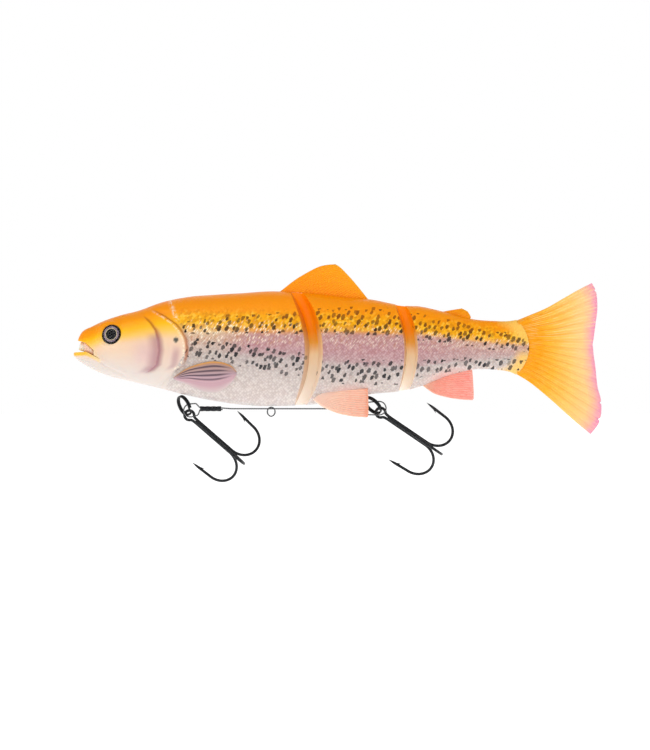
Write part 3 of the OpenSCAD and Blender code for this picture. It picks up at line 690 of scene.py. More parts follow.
def makeFrontSkin():
    # the head takes most of the columns
    fineTo, share = skin["fineTo"], skin["fineShare"]

    def spread(x0, x1, along):
        return np.where(along < share, x0 + (fineTo - x0) * along / share,
                        fineTo + (x1 - fineTo) * (along - share) / (1 - share))

    piece = sectionSkin("frontSkin", skin["frontColumns"], lambda a: np.full_like(a, bodyLine[0, 0]),
                        lambda a: edgeOfSkin(*frontJoint, -1, a), None, (*frontJoint, -1), spread)
    spots = spotsOf(piece)
    x, y, z = spots.T
    push = headRelief(x, z) * fade(1.5, 4.5, np.abs(y)) * (x < 60)
    moveSpots(piece, spots + normalsOf(piece) * push[:, None])

    # open mouth and eye pockets
    cutter = bmesh.new()
    outline = [cutter.verts.new((px * mm, -0.02, pz * mm)) for px, pz in mouthGap]
    face = bmesh.ops.contextual_create(cutter, geom=outline)["faces"]
    walls = bmesh.ops.extrude_face_region(cutter, geom=face)
    bmesh.ops.translate(cutter, vec=(0, 0.04, 0),
                        verts=[g for g in walls["geom"] if isinstance(g, bmesh.types.BMVert)])
    cutAway(piece, finished(cutter, "mouthCutter"))
    for sideways in (1, -1):
        cutter = bmesh.new()
        bmesh.ops.create_cone(cutter, cap_ends=True, segments=64, radius1=3.85 * mm, radius2=4.3 * mm, depth=6
                              * mm,
                              matrix=eyeFrame(sideways) @ Matrix.Translation((0, 0, 2.9 * mm)))
        cutAway(piece, finished(cutter, "eyeCutter"))
    shape = bmesh.new()
    shape.from_mesh(piece.data)
    bmesh.ops.remove_doubles(shape, verts=shape.verts, dist=1e-6)
    smoothEdges(shape, skin["sharp"])
    shape.to_mesh(piece.data)
    shape.free()

    def inMouth(px, py, pz):
        gapTop = np.interp(px, upperLip[:, 0], upperLip[:, 1])
        gapFoot = np.interp(px, lowerLip[:, 0], lowerLip[:, 1])
        return ((pz < gapTop + 0.02) & (pz > gapFoot - 0.02) & (px < 6.65)
                & (np.abs(py) < skinY(px, pz) - 0.25)).astype(float)

    paintSkin(piece, inMouth)
    return piece


eye = {
    "at": (11.0, -7.35, 4.7),
    "turn": 17, "tilt": 11,
    "radius": 3.7, "thick": 0.7, "dome": 1.3,
}


def eyeFrame(sideways):
    place = (Matrix.Translation(Vector(eye["at"]) * mm) @ Matrix.Rotation(math.radians(-eye["turn"]), 4, "Z")
             @ Matrix.Rotation(math.radians(90 - eye["tilt"]), 4, "X"))
    return place if sideways > 0 else Matrix.Scale(-1, 4, (0, 1, 0)) @ place


frontSkin = makeFrontSkin()
fit(frontSkin, trout, "front_section", "front_body")
print("front section made")

middleSkin = sectionSkin(
    "middleSkin", skin["middleColumns"], lambda a: edgeOfSkin(*frontJoint, 1, a),
    lambda a: edgeOfSkin(*rearJoint, -1, a), (*frontJoint, 1), (*rearJoint, -1))
paintSkin(middleSkin)
fit(middleSkin, trout, "middle_section", "middle_body")

tailSkin = sectionSkin("tailSkin", skin["tailColumns"], lambda a: edgeOfSkin(*rearJoint, 1, a), tailRootEdge,
                       (*rearJoint, 1))
paintSkin(tailSkin)
fit(tailSkin, trout, None, "tail_body")
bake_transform(tailSkin, "tail_section", "tail_fin", start=(0.1635, 0, 0), end=(0.1715, 0, 0))
print("middle and tail sections made")


def makeWebFinish():
    f = Finish("jointWeb")
    spot = f.place()
    z = f.split(spot)[2]
    level = f.math("ADD", z, f.math("MULTIPLY_ADD", f.noise(spot, 0.3, 2.0), 2.0, -1.0))
    colour = f.ramp(f.between(level, -22, 22),
        (0, 250, 238, 226), (0.4, 246, 222, 184), (0.56, 236, 172, 70), (0.7, 246, 150, 12), (1, 255, 142, 0),
    )
    normal = f.relief(f.noise(spot, 1.4, 4.0, 0.6), 0.12, 0.3)
    # painted light: the web glows faintly in its own colour, lifting the shade in the joint gaps
    f.put(f.shader.inputs["Emission Color"], colour)
    f.shader.inputs["Emission Strength"].default_value = 0.10
    return softPlastic(f, colour, normal, 0.42)


def makeNetFinish():
    f = Finish("jointNet")
    x, y, z = f.split(f.place())
    threads = f.math("MAXIMUM", f.math("SINE", f.times(f.math("ADD", x, z), 5.0)),
                     f.math("SINE", f.times(f.math("SUBTRACT", x, z), 5.0)))
    colour = f.ramp(f.between(threads, 0.3, 0.8), (0, 178, 170, 158), (1, 240, 236, 226))
    return f.finish(colour, f.relief(threads, 0.15, 0.8), 0.7, Sheen_Weight=0.3)


webFinish, netFinish = makeWebFinish(), makeNetFinish()


def arcSpot(hinge, offset, theta):
    r = lure["jointRadius"] + offset
    return hinge - lure["jointRadius"] + r * np.cos(theta), lure["jointZ"] + r * np.sin(theta)


def arcEnds(hinge, offset, inset, sign):
    theta = np.full_like(offset, sign * 0.45)
    for step in range(10):
        x, z = arcSpot(hinge, offset, theta)
        edge = smooth(bodyLine, x, 1) - inset if sign > 0 else smooth(bodyLine, x, 2) + inset
        theta = np.arcsin(np.clip((edge - lure["jointZ"]) / (lure["jointRadius"] + offset), -0.9, 0.9))
    return theta


def makeWeb(piece, hinge):
    reach = lure["webGap"] + web["sunk"]

    def place(u, v):
        turn = 2 * math.pi * v
        offset = reach * np.clip(1.25 * np.cos(turn), -1, 1)
        flare = lure["webHalf"] + web["flare"] * (np.abs(offset) / reach) ** 3
        low, high = (arcEnds(hinge, offset, web["inset"], sign) for sign in (-1, 1))
        x, z = arcSpot(hinge, offset, low + (high - low) * u)
        limit = np.maximum(skinY(x, z), 0.05)
        return np.column_stack([x, np.clip(flare * np.clip(1.5 * np.sin(turn), -1, 1), -limit, limit), z])

    return sheet(piece, 90, 40, place, 60)


def makeNet(piece, hinge, sweep):
    def place(u, v):
        turn = 2 * math.pi * v
        offset = net["half"] * np.clip(1.42 * np.cos(turn), -1, 1)
        x, z = arcSpot(hinge, offset, math.radians(sweep / 2 - 0.5) * (2 * u - 1))
        return np.column_stack([x, net["thick"] / 2 * np.clip(1.42 * np.sin(turn), -1, 1), z])

    return sheet(piece, 40, 40, place)


web = {"sunk": 0.35, "flare": 1.1, "inset": 0.25}
net = {"half": 7.9, "thick": 0.4, "frontSweep": 34, "rearSweep": 22}
for label, hinge, bodies, start, end in (
    ("front", lure["frontHinge"], ("front_section", "middle_section"), (0.0832, 0, 0), (0.0906, 0, 0)),
    ("rear", lure["rearHinge"], ("middle_section", "tail_section"), (0.1206, 0, 0), (0.1276, 0, 0)),
):
    for piece, finish, node, slot in (
        (makeWeb(label + "JointSkin", hinge), webFinish, "_joint_web", "web_skin"),
        (makeNet(label + "JointNet", hinge, net[label + "Sweep"]), netFinish, "_joint_mesh", "netting"),
    ):
        fit(piece, finish, None, label + node)
        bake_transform(piece, *bodies, start=start, end=end)
print("joint webs made")


def patch(leading, trailing, root, tip, u, v):
    # four edge curves filled in between: v runs along the rays, u across them
    lead, trail = lineAt(leading, v), lineAt(trailing, v)
    base, outer = lineAt(root, u), lineAt(tip, u)
    u, v = u[:, None], v[:, None]
    corners = ((1 - u) * (1 - v) * np.array(root[0]) + u * (1 - v) * np.array(root[-1])
               + (1 - u) * v * np.array(tip[0]) + u * v * np.array(tip[-1]))
    return (1 - u) * lead + u * trail + (1 - v) * base + v * outer - corners


def finPiece(name, curves, thick, rays, ridge, columns=140, rows=48, rootHalf=None, edgeHalf=0.22, notches=(),
             shape=None):
    # one sheet folded over the tip: both faces, with raised rays and thin edges
    def place(u, v):
        side = np.where(v < 0.5, -1.0, 1.0)
        along = 1 - np.abs(2 * v - 1)
        flat = patch(*curves, u, along)
        for centre, width, depth in notches:
            flat[:, 0] -= depth * bump(u, centre, width) * fade(0.9, 1.0, along)
        rim = np.minimum(np.minimum(u, 1 - u) * 14, (1 - along) * 16)
        rounded = np.sqrt(np.clip(1 - (1 - np.clip(rim, 0, 1)) ** 2, 0, 1))
        half = edgeHalf + (thick / 2 - edgeHalf) * (1 - 0.55 * along)
        if rootHalf:
            half = half + (rootHalf - thick / 2) * fade(0.16, 0.0, along)
        half = half + ridge * np.cos(2 * math.pi * rays * u) * fade(0.03, 0.2, along) * fade(1.0, 0.85, along)
        y = side * half * rounded
        y = np.where((rim <= 1e-6), 0, y)
        spots = np.column_stack([flat[:, 0], y, flat[:, 1]])
        return shape(spots) if shape else spots

    def measures(u, v):
        return {"finU": u, "finV": 1 - np.abs(2 * v - 1)}

    return sheet(name, columns, rows, place, 70, measures)


def makeFinFinish(name, stops, rays, rayColour, rayAmount, edgeColour, edgeAmount, wave=0.0):
    f = Finish(name)
    spot = f.place()
    across, outward = f.attribute("finU"), f.attribute("finV")
    drift = f.math("MULTIPLY_ADD", f.noise(spot, 0.25, 3.0), 0.16, -0.08)
    colour = f.ramp(f.math("ADD", outward, drift), *stops)
    bend = f.math("MULTIPLY_ADD", f.noise(spot, 0.12, 1.0), wave, across)
    line = f.math("SINE", f.times(bend, 2 * math.pi * rays))
    broken = f.times(f.between(line, 0.35, 0.95), f.between(f.noise(spot, 0.6, 2.0), 0.3, 0.6))
    colour = f.mix(f.times(broken, rayAmount), colour, rayColour)
    colour = f.mix(f.times(f.between(outward, 0.90, 1.0), edgeAmount), colour, edgeColour)
    normal = f.relief(line, 0.12, 0.45)
    normal = f.relief(f.noise(spot, 1.2, 3.0, 0.5), 0.06, 0.2, normal)
    return softPlastic(f, colour, normal, 0.38)


orangeFin = makeFinFinish("orangeFin", [(0, 255, 152, 0), (0.5, 255, 156, 2), (1, 255, 164, 8)],
                          26, tone(236, 128, 0), 0.45, tone(254, 180, 50), 0.4)
pinkFin = makeFinFinish("pinkFin", [(0, 246, 196, 170), (0.3, 246, 160, 140), (1, 247, 150, 138)],
                        15, tone(252, 196, 180), 0.85, tone(250, 176, 160), 0.5)
salmonFin = makeFinFinish("salmonFin", [(0, 248, 208, 190), (0.4, 246, 196, 172), (1, 246, 176, 150)],
                          13, tone(254, 226, 206), 0.85, tone(244, 150, 118), 0.6)

dorsalCurves = (
    [(74.5, 21.12), (80.6, 25.8), (86.6, 29.3), (89.7, 30.7), (92.7, 31.3), (95.6, 31.5)],
    [(104.5, 16.8), (107.9, 18.3)],
    [(74.5, 21.12), (80, 20.7), (86.4, 20.18), (89.5, 19.0), (97, 17.6), (104.5, 16.8)],
    [(95.6, 31.5), (97.3, 30.4), (100.3, 27.4), (103.4, 23.9), (107.9, 18.3)],
)
dorsalFin = finPiece("dorsalFinSkin", dorsalCurves, 1.4, 26, 0.03, columns=240)
fit(dorsalFin, orangeFin, "middle_section", "dorsal_fin")

adiposeCurves = (
    [(134.9, 13.2), (139.1, 14), (143.6, 14.7)], [(146, 9.4), (147.1, 11.4)],
    [(134.9, 13.2), (136.5, 11.6), (141, 10.1), (146, 9.4)], [(143.6, 14.7), (145.8, 13.5), (147.1, 11.4)],
)
adiposeFin = finPiece("adiposeFinSkin", adiposeCurves, 1.4, 5, 0.02, columns=60, rows=28)
fit(adiposeFin, orangeFin, "tail_section", "adipose_fin")

analCurves = (
    [(128.4, -14.5), (133.4, -17.8), (140.8, -19.6), (147.6, -20.2)],
    [(129.4, -12.8), (134, -10.5), (140, -8), (147.4, -7)],
    [(128.4, -14.5), (129.4, -12.8)], [(147.6, -20.2), (148.1, -19.4), (147.9, -13), (147.4, -7)],
)
analFin = finPiece("analFinSkin", analCurves, 1.4, 15, 0.08, columns=110, rows=60)
fit(analFin, pinkFin, "tail_section", "anal_fin")

pelvicCurves = (
    [(87.2, -20.2), (90.6, -23.1), (95.8, -25.6), (100.8, -27), (107.3, -27.6)],
    [(91, -17.4), (100, -15.8), (107.8, -15.4)],
    [(87.2, -20.2), (88.6, -18.9), (91, -17.4)], [(107.3, -27.6), (107.9, -27), (108, -21), (107.8, -15.4)],
)
pelvic = {"rootY": 7.2, "rootZ": -18.0, "splay": 26}
for label, sideways in (("left", -1), ("right", 1)):
    def splayed(spots, sideways=sideways):
        lean = math.radians(pelvic["splay"]) * -sideways
        z = spots[:, 2] - pelvic["rootZ"]
        y = spots[:, 1]
        turned = spots.copy()
        turned[:, 1] = sideways * pelvic["rootY"] + y * math.cos(lean) + z * math.sin(lean)
        turned[:, 2] = pelvic["rootZ"] + z * math.cos(lean) - y * math.sin(lean)
        return turned

    fin = finPiece(label + "PelvicFinSkin", pelvicCurves, 1.2, 13, 0.07, columns=110, rows=60, shape=splayed)
    fit(fin, salmonFin, "middle_section", label + "_pelvic_fin")


# folded pectoral fins: a leaf that follows the flank, with thick dark rays
pectoralLine = np.array([
    [34.4, -11.5, -12.2], [39.6, -8.1, -14.4], [45.4, -6.1, -16.8], [50.5, -5.5, -17.1], [56, -7, -14],
    [58.3, -9.4, -10.6],
])
pectoral = {"relief": 1.1, "rays": 7}


def makePectoralFinish():
    f = Finish("pectoralFin")
    spot = f.place()
    across, outward = f.attribute("finU"), f.attribute("finV")
    colour = f.ramp(across,
        (0, 222, 150, 74), (0.1, 172, 140, 128), (0.45, 178, 150, 158), (0.6, 196, 160, 168),
        (0.78, 194, 158, 166), (1, 204, 186, 184),
    )
    line = f.math("SINE", f.math("MULTIPLY_ADD", across, 2 * math.pi * pectoral["rays"], 1.2))
    rays = f.times(f.between(line, -0.35, 0.6),
                   f.times(f.between(across, 0.03, 0.12), f.between(across, 0.74, 0.52)))
    rays = f.times(rays, f.times(f.between(outward, 0.02, 0.12), f.between(outward, 0.97, 0.72)))
    colour = f.mix(f.times(rays, 0.85), colour, tone(84, 68, 80))
    colour = f.mix(f.times(f.between(across, 0.05, 0.0), 0.9), colour, tone(240, 170, 80))
    normal = f.relief(f.noise(spot, 1.6, 4.0, 0.6), 0.12, 0.3)
    return softPlastic(f, colour, normal, 0.36)


pectoralFinish = makePectoralFinish()


def makePectoral(label, sideways):
    def place(u, v):
        # u along the fin, v from the top round the outside to the bottom and back inside
        x = pectoralLine[0, 0] + (pectoralLine[-1, 0] - pectoralLine[0, 0]) * u
        outside = v < 0.5
        down = np.where(outside, 2 * v, 2 - 2 * v)
        top, foot = smooth(pectoralLine, x, 1), smooth(pectoralLine, x, 2)
        z = top + (foot - top) * down
        skinOut = skinY(x, z)
        edge = np.clip(np.minimum(down, 1 - down) * 9, 0, 1)
        swell = 0.35 + 0.65 * np.sqrt(edge)
        ridges = 0.18 * np.sin(2 * math.pi * pectoral["rays"] * down
                               + 1.2) * fade(0.8, 0.6, down) * fade(0.0, 0.12, u) * fade(1.0, 0.85, u)
        lift = np.where(outside, 0.12 + pectoral["relief"] * swell * fade(0, 0.06, u) * fade(1.0, 0.94, u)
                        - np.abs(ridges) * 0.2 - ridges * 0.6 * edge, -0.25)
        return np.column_stack([x, sideways * (skinOut + lift), z])

    def measures(u, v):
        return {"finU": 1 - np.abs(2 * v - 1), "finV": u}

    piece = sheet(label + "PectoralFinSkin", 90, 140, place, 70, measures)
    fit(piece, pectoralFinish, "front_section", label + "_pectoral_fin")


makePectoral("left", -1)
makePectoral("right", 1)


# tail fin: broad fan with heavy rays in the upper lobe and a pink edge
def makeTailFinish():
    f = Finish("tailFin")
    spot = f.place()
    x, y, z = f.split(spot)
    across, outward = f.attribute("finU"), f.attribute("finV")
    drift = f.math("MULTIPLY_ADD", f.noise(spot, 0.22, 3.0), 0.14, -0.07)
    level = f.math("ADD", outward, drift)
    colour = f.ramp(level,
        (0, 250, 160, 4), (0.16, 248, 163, 14), (0.36, 248, 180, 50), (0.62, 249, 198, 104),
        (0.82, 248, 202, 134), (0.91, 244, 184, 156), (0.96, 240, 166, 176), (1, 236, 150, 180),
    )
    line = f.math("SINE", f.times(across, 2 * math.pi * 42))
    broad = f.math("SINE", f.times(across, 2 * math.pi * 15))
    fine = f.times(f.between(line, 0.2, 0.95),
                   f.between(f.noise(f.stretch(spot, (3.3, 1, 1)), 0.7, 3.0), 0.35, 0.65))
    upper = f.between(across, 0.45, 0.75, 0.35, 1.0)
    colour = f.mix(f.times(fine, upper, 0.55), colour, tone(252, 222, 160))
    colour = f.mix(f.times(f.times(f.between(broad, 0.3, 1.0), upper),
                           f.times(f.between(outward, 0.85, 0.5), 0.35)), colour, tone(238, 150, 12))
    normal = f.relief(f.math("MULTIPLY_ADD", line, 0.5, broad), 0.16, 0.45)
    normal = f.relief(f.noise(spot, 1.8, 4.0, 0.6), 0.1, 0.25, normal)
    return softPlastic(f, colour, normal, 0.36)


def rootArc(radius, fromAngle, toAngle, count=14):
    angles = np.radians(np.linspace(fromAngle, toAngle, count))
    return [(lure["tailRootX"] + radius * math.cos(a), radius * math.sin(a)) for a in angles]


rootCurve = rootArc(13.2, -49.5, 49.0)
tailCurves = (
    [rootCurve[0], (169.5, -13.5), (177.3, -19.9), (186, -27.7), (192.5, -33.1)],
    [rootCurve[-1], (169.5, 12.2), (175.6, 14.8), (181.6, 18.2), (187.7, 21.7), (193, 24.4)],
    rootCurve,
    [(192.5, -33.1), (195.5, -29.1), (196.55, -25), (196.4, -19.8), (195.2, -15.2), (194.4, -8), (193.5, 0),
     (194.5, 9.5), (195.1, 14.6), (194.6, 21.1), (193, 24.4)],
)
tailFin = finPiece("tailFinSkin", tailCurves, 1.5, 15, 0.12, columns=260, rows=90, rootHalf=1.7,
                   notches=((0.945, 0.006, 0.5), (0.22, 0.006, 0.6), (0.115, 0.007, 0.8), (0.60, 0.02, 0.25)))
fit(tailFin, makeTailFinish(), None, "tail_fin")
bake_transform(tailFin, "tail_section", "tail_fin", start=(0.1635, 0, 0), end=(0.1715, 0, 0))
print("fins made")


def makeEyeFinish():
    f = Finish("eyeFoil")
    spot = f.place()
    radius = f.attribute("eyeRadius")
    colour = f.ramp(f.math("DIVIDE", radius, 4.0),
        (0, 4, 6, 10), (0.5, 4, 6, 10), (0.525, 240, 222, 178), (0.565, 226, 204, 168),
        (0.585, 52, 44, 52), (0.61, 136, 118, 138), (0.68, 170, 150, 168), (0.73, 104, 84, 94),
        (0.76, 12, 9, 10), (1, 8, 7, 8),
    )
    fleck = f.noise(spot, 2.2, 4.0, 0.7)
    iris = f.times(f.between(radius, 2.25, 2.35), f.between(radius, 2.85, 2.7))
    colour = f.mix(f.times(f.times(f.between(fleck, 0.5, 0.7), iris), 0.5), colour, tone(214, 196, 206))
    normal = f.relief(fleck, 0.05, 0.2)
    return f.finish(colour, normal, 0.3, Metallic=0.1, Specular_IOR_Level=0.2)


def makeDomeFinish():
    f = Finish("eyeDome")
    spot = f.place()
    normal = f.relief(f.noise(spot, 0.3, 1.0), 0.01, 0.05)
    return f.finish(tone(252, 252, 252), normal, 0.03, Transmission_Weight=1.0, IOR=1.2)


eyeFinish, domeFinish = makeEyeFinish(), makeDomeFinish()


def spun(name, profile, place, segments=64, sharp=50):
    # profile of (radius, height) turned about its own axis, then put in place
    shape = bmesh.new()
    verts = [shape.verts.new((r * mm, 0, h * mm)) for r, h in profile]
    edges = [shape.edges.new(pair) for pair in zip(verts[:-1], verts[1:])]
    bmesh.ops.spin(shape, geom=verts + edges, cent=(0, 0, 0), axis=(0, 0, 1), angle=2 * math.pi,
                   steps=segments, use_merge=True, use_duplicate=False)
    bmesh.ops.remove_doubles(shape, verts=shape.verts, dist=2e-6)
    radius = shape.verts.layers.float.new("eyeRadius")
    for vert in shape.verts:
        vert[radius] = math.hypot(vert.co.x, vert.co.y) / mm
    bmesh.ops.transform(shape, matrix=place, verts=shape.verts)
    return finished(shape, name, sharp)


for label, sideways in (("left", 1), ("right", -1)):
    place, radius, thick, high = eyeFrame(sideways), eye["radius"], eye["thick"], eye["dome"]
    foil = spun(label + "EyeFoil", [
        (0, 0), (radius, 0), (radius, 0.62), (3.45, thick), (2.9, 0.66), (2.45, 0.62), (2.3, 0.68),
        (2.1, 0.68),
        (2.0, 0.55), (1.2, 0.52), (0, 0.52),
    ], place)
    fit(foil, eyeFinish, "front_section", label + "_eye_disc")
    ball = (radius**2 + high**2) / (2 * high)
    arc = [(ball * math.sin(a), thick + high - ball + ball * math.cos(a))
           for a in np.linspace(0, math.asin(radius / ball), 18)]
    dome = spun(label + "EyeDome", arc + [(radius, thick), (0, thick)], place)
    fit(dome, domeFinish, "front_section", label + "_eye_lens")
print("eyes made")


def makeTubePlastic():
    f = Finish("tubePlastic")
    spot = f.place()
    haze = f.noise(spot, 0.9, 3.0)
    colour = f.ramp(haze, (0.3, 232, 226, 216), (0.7, 248, 244, 236))
    return f.finish(colour, f.relief(haze, 0.03, 0.2), f.between(haze, 0.3, 0.7, 0.25, 0.4),
                    Subsurface_Weight=0.3, Subsurface_Scale=0.001)


def makeLiningFinish():
    f = Finish("mouthLining")
    spot = f.place()
    colour = f.ramp(f.noise(spot, 0.5, 3.0), (0.3, 238, 206, 190), (0.7, 246, 222, 208))
    return softPlastic(f, colour, f.relief(f.noise(spot, 1.6, 4.0), 0.1, 0.3), 0.4)


def makeLining():
    def place(u, v):
        x = 0.2 + 6.3 * u
        top, foot = np.interp(x, upperLip[:, 0], upperLip[:, 1]) + 0.3, np.interp(x, lowerLip[:, 0],
                                                                                  lowerLip[:, 1]) - 0.3
        angle = 2 * math.pi * v
        half = np.maximum(skinY(x, (top + foot) / 2) - 1.5,
                          0.6) * (0.75 + 0.25 * np.sin(math.pi * np.clip(u * 1.4, 0, 1)))
        y = half * signedPower(np.sin(angle), 0.7)
        z = (top + foot) / 2 + (top - foot) / 2 * signedPower(np.cos(angle), 0.7)
        return np.column_stack([x, y, z])

    fit(sheet("mouthLining", 20, 40, place), makeLiningFinish(), "front_section", None)


makeLining()


def makeCollar():
    # flared lip of the line tube in the mouth
    slope = math.radians(lure["tubeSlope"])
    place = Matrix.Rotation(math.pi / 2 + slope, 4, "Y")
    collar = spun("tubeCollar", [(1.05, -1.55), (1.25, -1.7), (1.5, -1.6), (1.6, -1.3), (1.62, 0.2),
                                 (1.72, 1.2), (1.45, 1.25), (1.45, 0.0), (1.08, -0.02), (1.05, -1.55)],
                  place, 48)
    fit(collar, makeTubePlastic(), "front_section", None)


makeCollar()


def makeNickel():
    f = Finish("blackNickel")
    spot = f.place()
    scuff = f.noise(spot, 1.3, 5.0, 0.65)
    colour = f.ramp(scuff, (0.35, 32, 33, 35), (0.65, 58, 60, 62))
    rough = f.between(scuff, 0.3, 0.75, 0.2, 0.38)
    return f.finish(colour, f.relief(scuff, 0.03, 0.25), rough, Metallic=1.0)


def makeWireSteel():
    f = Finish("leaderSteel")
    x, y, z = f.split(f.place())
    strands = f.math("SINE", f.times(f.math("ADD", x, f.times(z, 0.6)), 9.0))
    colour = f.ramp(f.between(strands, -0.6, 0.9), (0, 48, 49, 51), (1, 120, 122, 124))
    return f.finish(colour, f.relief(strands, 0.05, 0.5), 0.34, Metallic=1.0)


nickel, wireSteel = makeNickel(), makeWireSteel()
rig = {
    "wireZ": -23.4, "wireY": -2.4, "wire": 0.5, "strandGap": 0.62,
    "frontSleeve": 44.2, "rearSleeve": 97.5, "sleeve": 8.0,
    "ringMean": 7.7, "ringWire": 0.75, "ringTurn": 62, "ringStep": 0.6,
    "tieMean": 3.4, "tieWire": 0.5, "tieTurn": 32,
}


def makeSplitRing(name, at, lean, body, node):
    # two turns of wire: flat for most of the way, then a short step up to the second turn
    turns = np.linspace(0, 4 * math.pi - rig["ringStep"] - 0.15, 170)
    rise = fade(2 * math.pi - rig["ringStep"], 2 * math.pi, turns) - 0.5
    radius = rig["ringMean"] / 2
    path = np.column_stack([radius * np.cos(turns), radius * np.sin(turns), 0.96 * rig["ringWire"] * rise])
    down = Vector((math.sin(math.radians(lean)), 0, -math.cos(math.radians(lean))))
    turned = np.array((Matrix.Rotation(math.radians(rig["ringTurn"]), 3, down)
                       @ Matrix.Rotation(math.radians(90), 3, "X")))
    piece = wire(name, path @ turned.T + np.array(at), rig["ringWire"] / 2, 16, down)
    fit(piece, nickel, body, node)


frontRing, rearRing = (38.15, 0, -22.25), (109.7, 0, -22.1)
makeSplitRing("frontSplitRing", frontRing, 25.8, "front_ring", "front_split_ring")
makeSplitRing("rearSplitRing", rearRing, 46.2, "rear_ring", "rear_split_ring")


def makeTieRing():
    shape = bmesh.new()
    circle = bmesh.ops.create_circle(shape, segments=14, radius=rig["tieWire"] / 2 * mm,
                                     matrix=Matrix.Translation((rig["tieMean"] / 2 * mm, 0, 0))
                                     @ Matrix.Rotation(math.pi / 2, 4, "X"))
    bmesh.ops.spin(shape, geom=circle["verts"] + list(shape.edges), cent=(0, 0, 0), axis=(0, 0, 1), angle=2
                   * math.pi, steps=64, use_merge=True, use_duplicate=False)
    place = (Matrix.Translation(Vector((71.2, rig["wireY"], rig["wireZ"] - 1.15)) * mm)
             @ Matrix.Rotation(math.radians(rig["tieTurn"]), 4, "Z")
             @ Matrix.Rotation(math.radians(90), 4, "X"))
    bmesh.ops.transform(shape, matrix=place, verts=shape.verts)
    bmesh.ops.remove_doubles(shape, verts=shape.verts, dist=2e-6)
    piece = finished(shape, "tieRing")
    fit(piece, wireSteel, "tie_ring", "line_tie_ring")


makeTieRing()


def loopPath(neckX, tip, half):
    wireZ, gap = rig["wireZ"], rig["strandGap"]
    side = math.copysign(1, tip[0] - neckX)
    along = np.array([tip[0] - neckX, tip[1] - wireZ])
    length = float(np.linalg.norm(along))
    along = along / length
    up = np.array([-along[1], along[0]]) * side
    centre = np.array(tip) - along * half
    lead = 0.3 * (length - half)
    neck = np.array([neckX, wireZ])
    round_ = [centre + half * (math.sin(math.radians(a)) * up + math.cos(math.radians(a)) * along)
              for a in np.arange(-90, 90.1, 22.5)]
    return [np.array([neckX, wireZ - gap / 2]), neck + along * lead - up * half * 0.9, *round_,
            neck + along * lead + up * half * 0.9, np.array([neckX, wireZ + gap / 2])]


def makeLeader():
    low, high = rig["wireZ"] - rig["strandGap"] / 2, rig["wireZ"] + rig["strandGap"] / 2
    front = loopPath(rig["frontSleeve"], (38, -24.5), 2.5)
    rear = loopPath(rig["rearSleeve"] + rig["sleeve"], (114.8, -23.1), 2.6)
    endFront, endRear = rig["frontSleeve"] + rig["sleeve"], rig["rearSleeve"]
    flat = ([np.array([endFront + 0.6, low])] + front
            + [np.array([endFront, high]), np.array([endFront + 4, rig["wireZ"]]),
            np.array([endRear - 4, rig["wireZ"]]), np.array([endRear, high])] + rear[::-1]
            + [np.array([endRear - 0.6, low])])
    flat = np.array(flat)
    run = np.concatenate([[0], np.cumsum(np.linalg.norm(np.diff(flat, axis=0), axis=1))])
    fine = np.interp(np.linspace(0, run[-1], 700), run, flat[:, 0]), np.interp(np.linspace(0, run[-1], 700),
                                                                               run, flat[:, 1])
    path = np.column_stack([fine[0], np.full(700, rig["wireY"]), fine[1]])
    for again in range(6):
        path[1:-1] = (path[:-2] + 2 * path[1:-1] + path[2:]) / 4
    piece = wire("leaderWire", path, rig["wire"] / 2, 10, (0, 1, 0))
    fit(piece, wireSteel, "leader", "leader_wire")


makeLeader()


def makeSleeve(name, start, node):
    outer = bmesh.new()
    bmesh.ops.create_cone(outer, cap_ends=True, segments=36, radius1=0.65 * mm, radius2=0.65 * mm,
                          depth=rig["sleeve"] * mm,
                          matrix=Matrix.Rotation(math.pi / 2, 4, "Y"))
    long = [e for e in outer.edges if abs(e.verts[0].co.x - e.verts[1].co.x) > 1e-3]
    bmesh.ops.subdivide_edges(outer, edges=long, cuts=40, use_grid_fill=True)
    caps = [face for face in outer.faces if abs(face.normal.x) > 0.9]
    bmesh.ops.inset_region(outer, faces=caps, thickness=0.18 * mm)
    for vert in outer.verts:
        u = vert.co.x / mm / rig["sleeve"] + 0.5
        press = sum(math.exp(-((u - c) / 0.06) ** 2) for c in (0.22, 0.5, 0.78))
        vert.co.y *= 1 - 0.16 * press
        vert.co.z *= 1.48 - 0.14 * press
    bmesh.ops.translate(outer, vec=Vector((start + rig["sleeve"] / 2, rig["wireY"], rig["wireZ"])) * mm,
                        verts=outer.verts)
    piece = finished(outer, name, 40)
    fit(piece, nickel, "leader", node)


makeSleeve("frontCrimpSleeve", rig["frontSleeve"], "front_crimp_sleeve")
makeSleeve("rearCrimpSleeve", rig["rearSleeve"], "rear_crimp_sleeve")

hook = {
    "wire": 1.1, "shank": 18.3, "bend": 6.9, "eye": 2.6, "reach": 8.3, "flare": 0.6,
    "barbBack": 3.6, "barbRise": 1.3, "taper": 3.2, "play": 0.3,
}
hookR = hook["wire"] / 2
eyeMean = (hook["eye"] + hook["wire"]) / 2
shankOffset = hookR + 0.04
eyeNeck = math.sqrt(eyeMean**2 - shankOffset**2) + 0.8
singleOffset = -math.sqrt((hook["wire"] + 0.03) ** 2 - shankOffset**2)


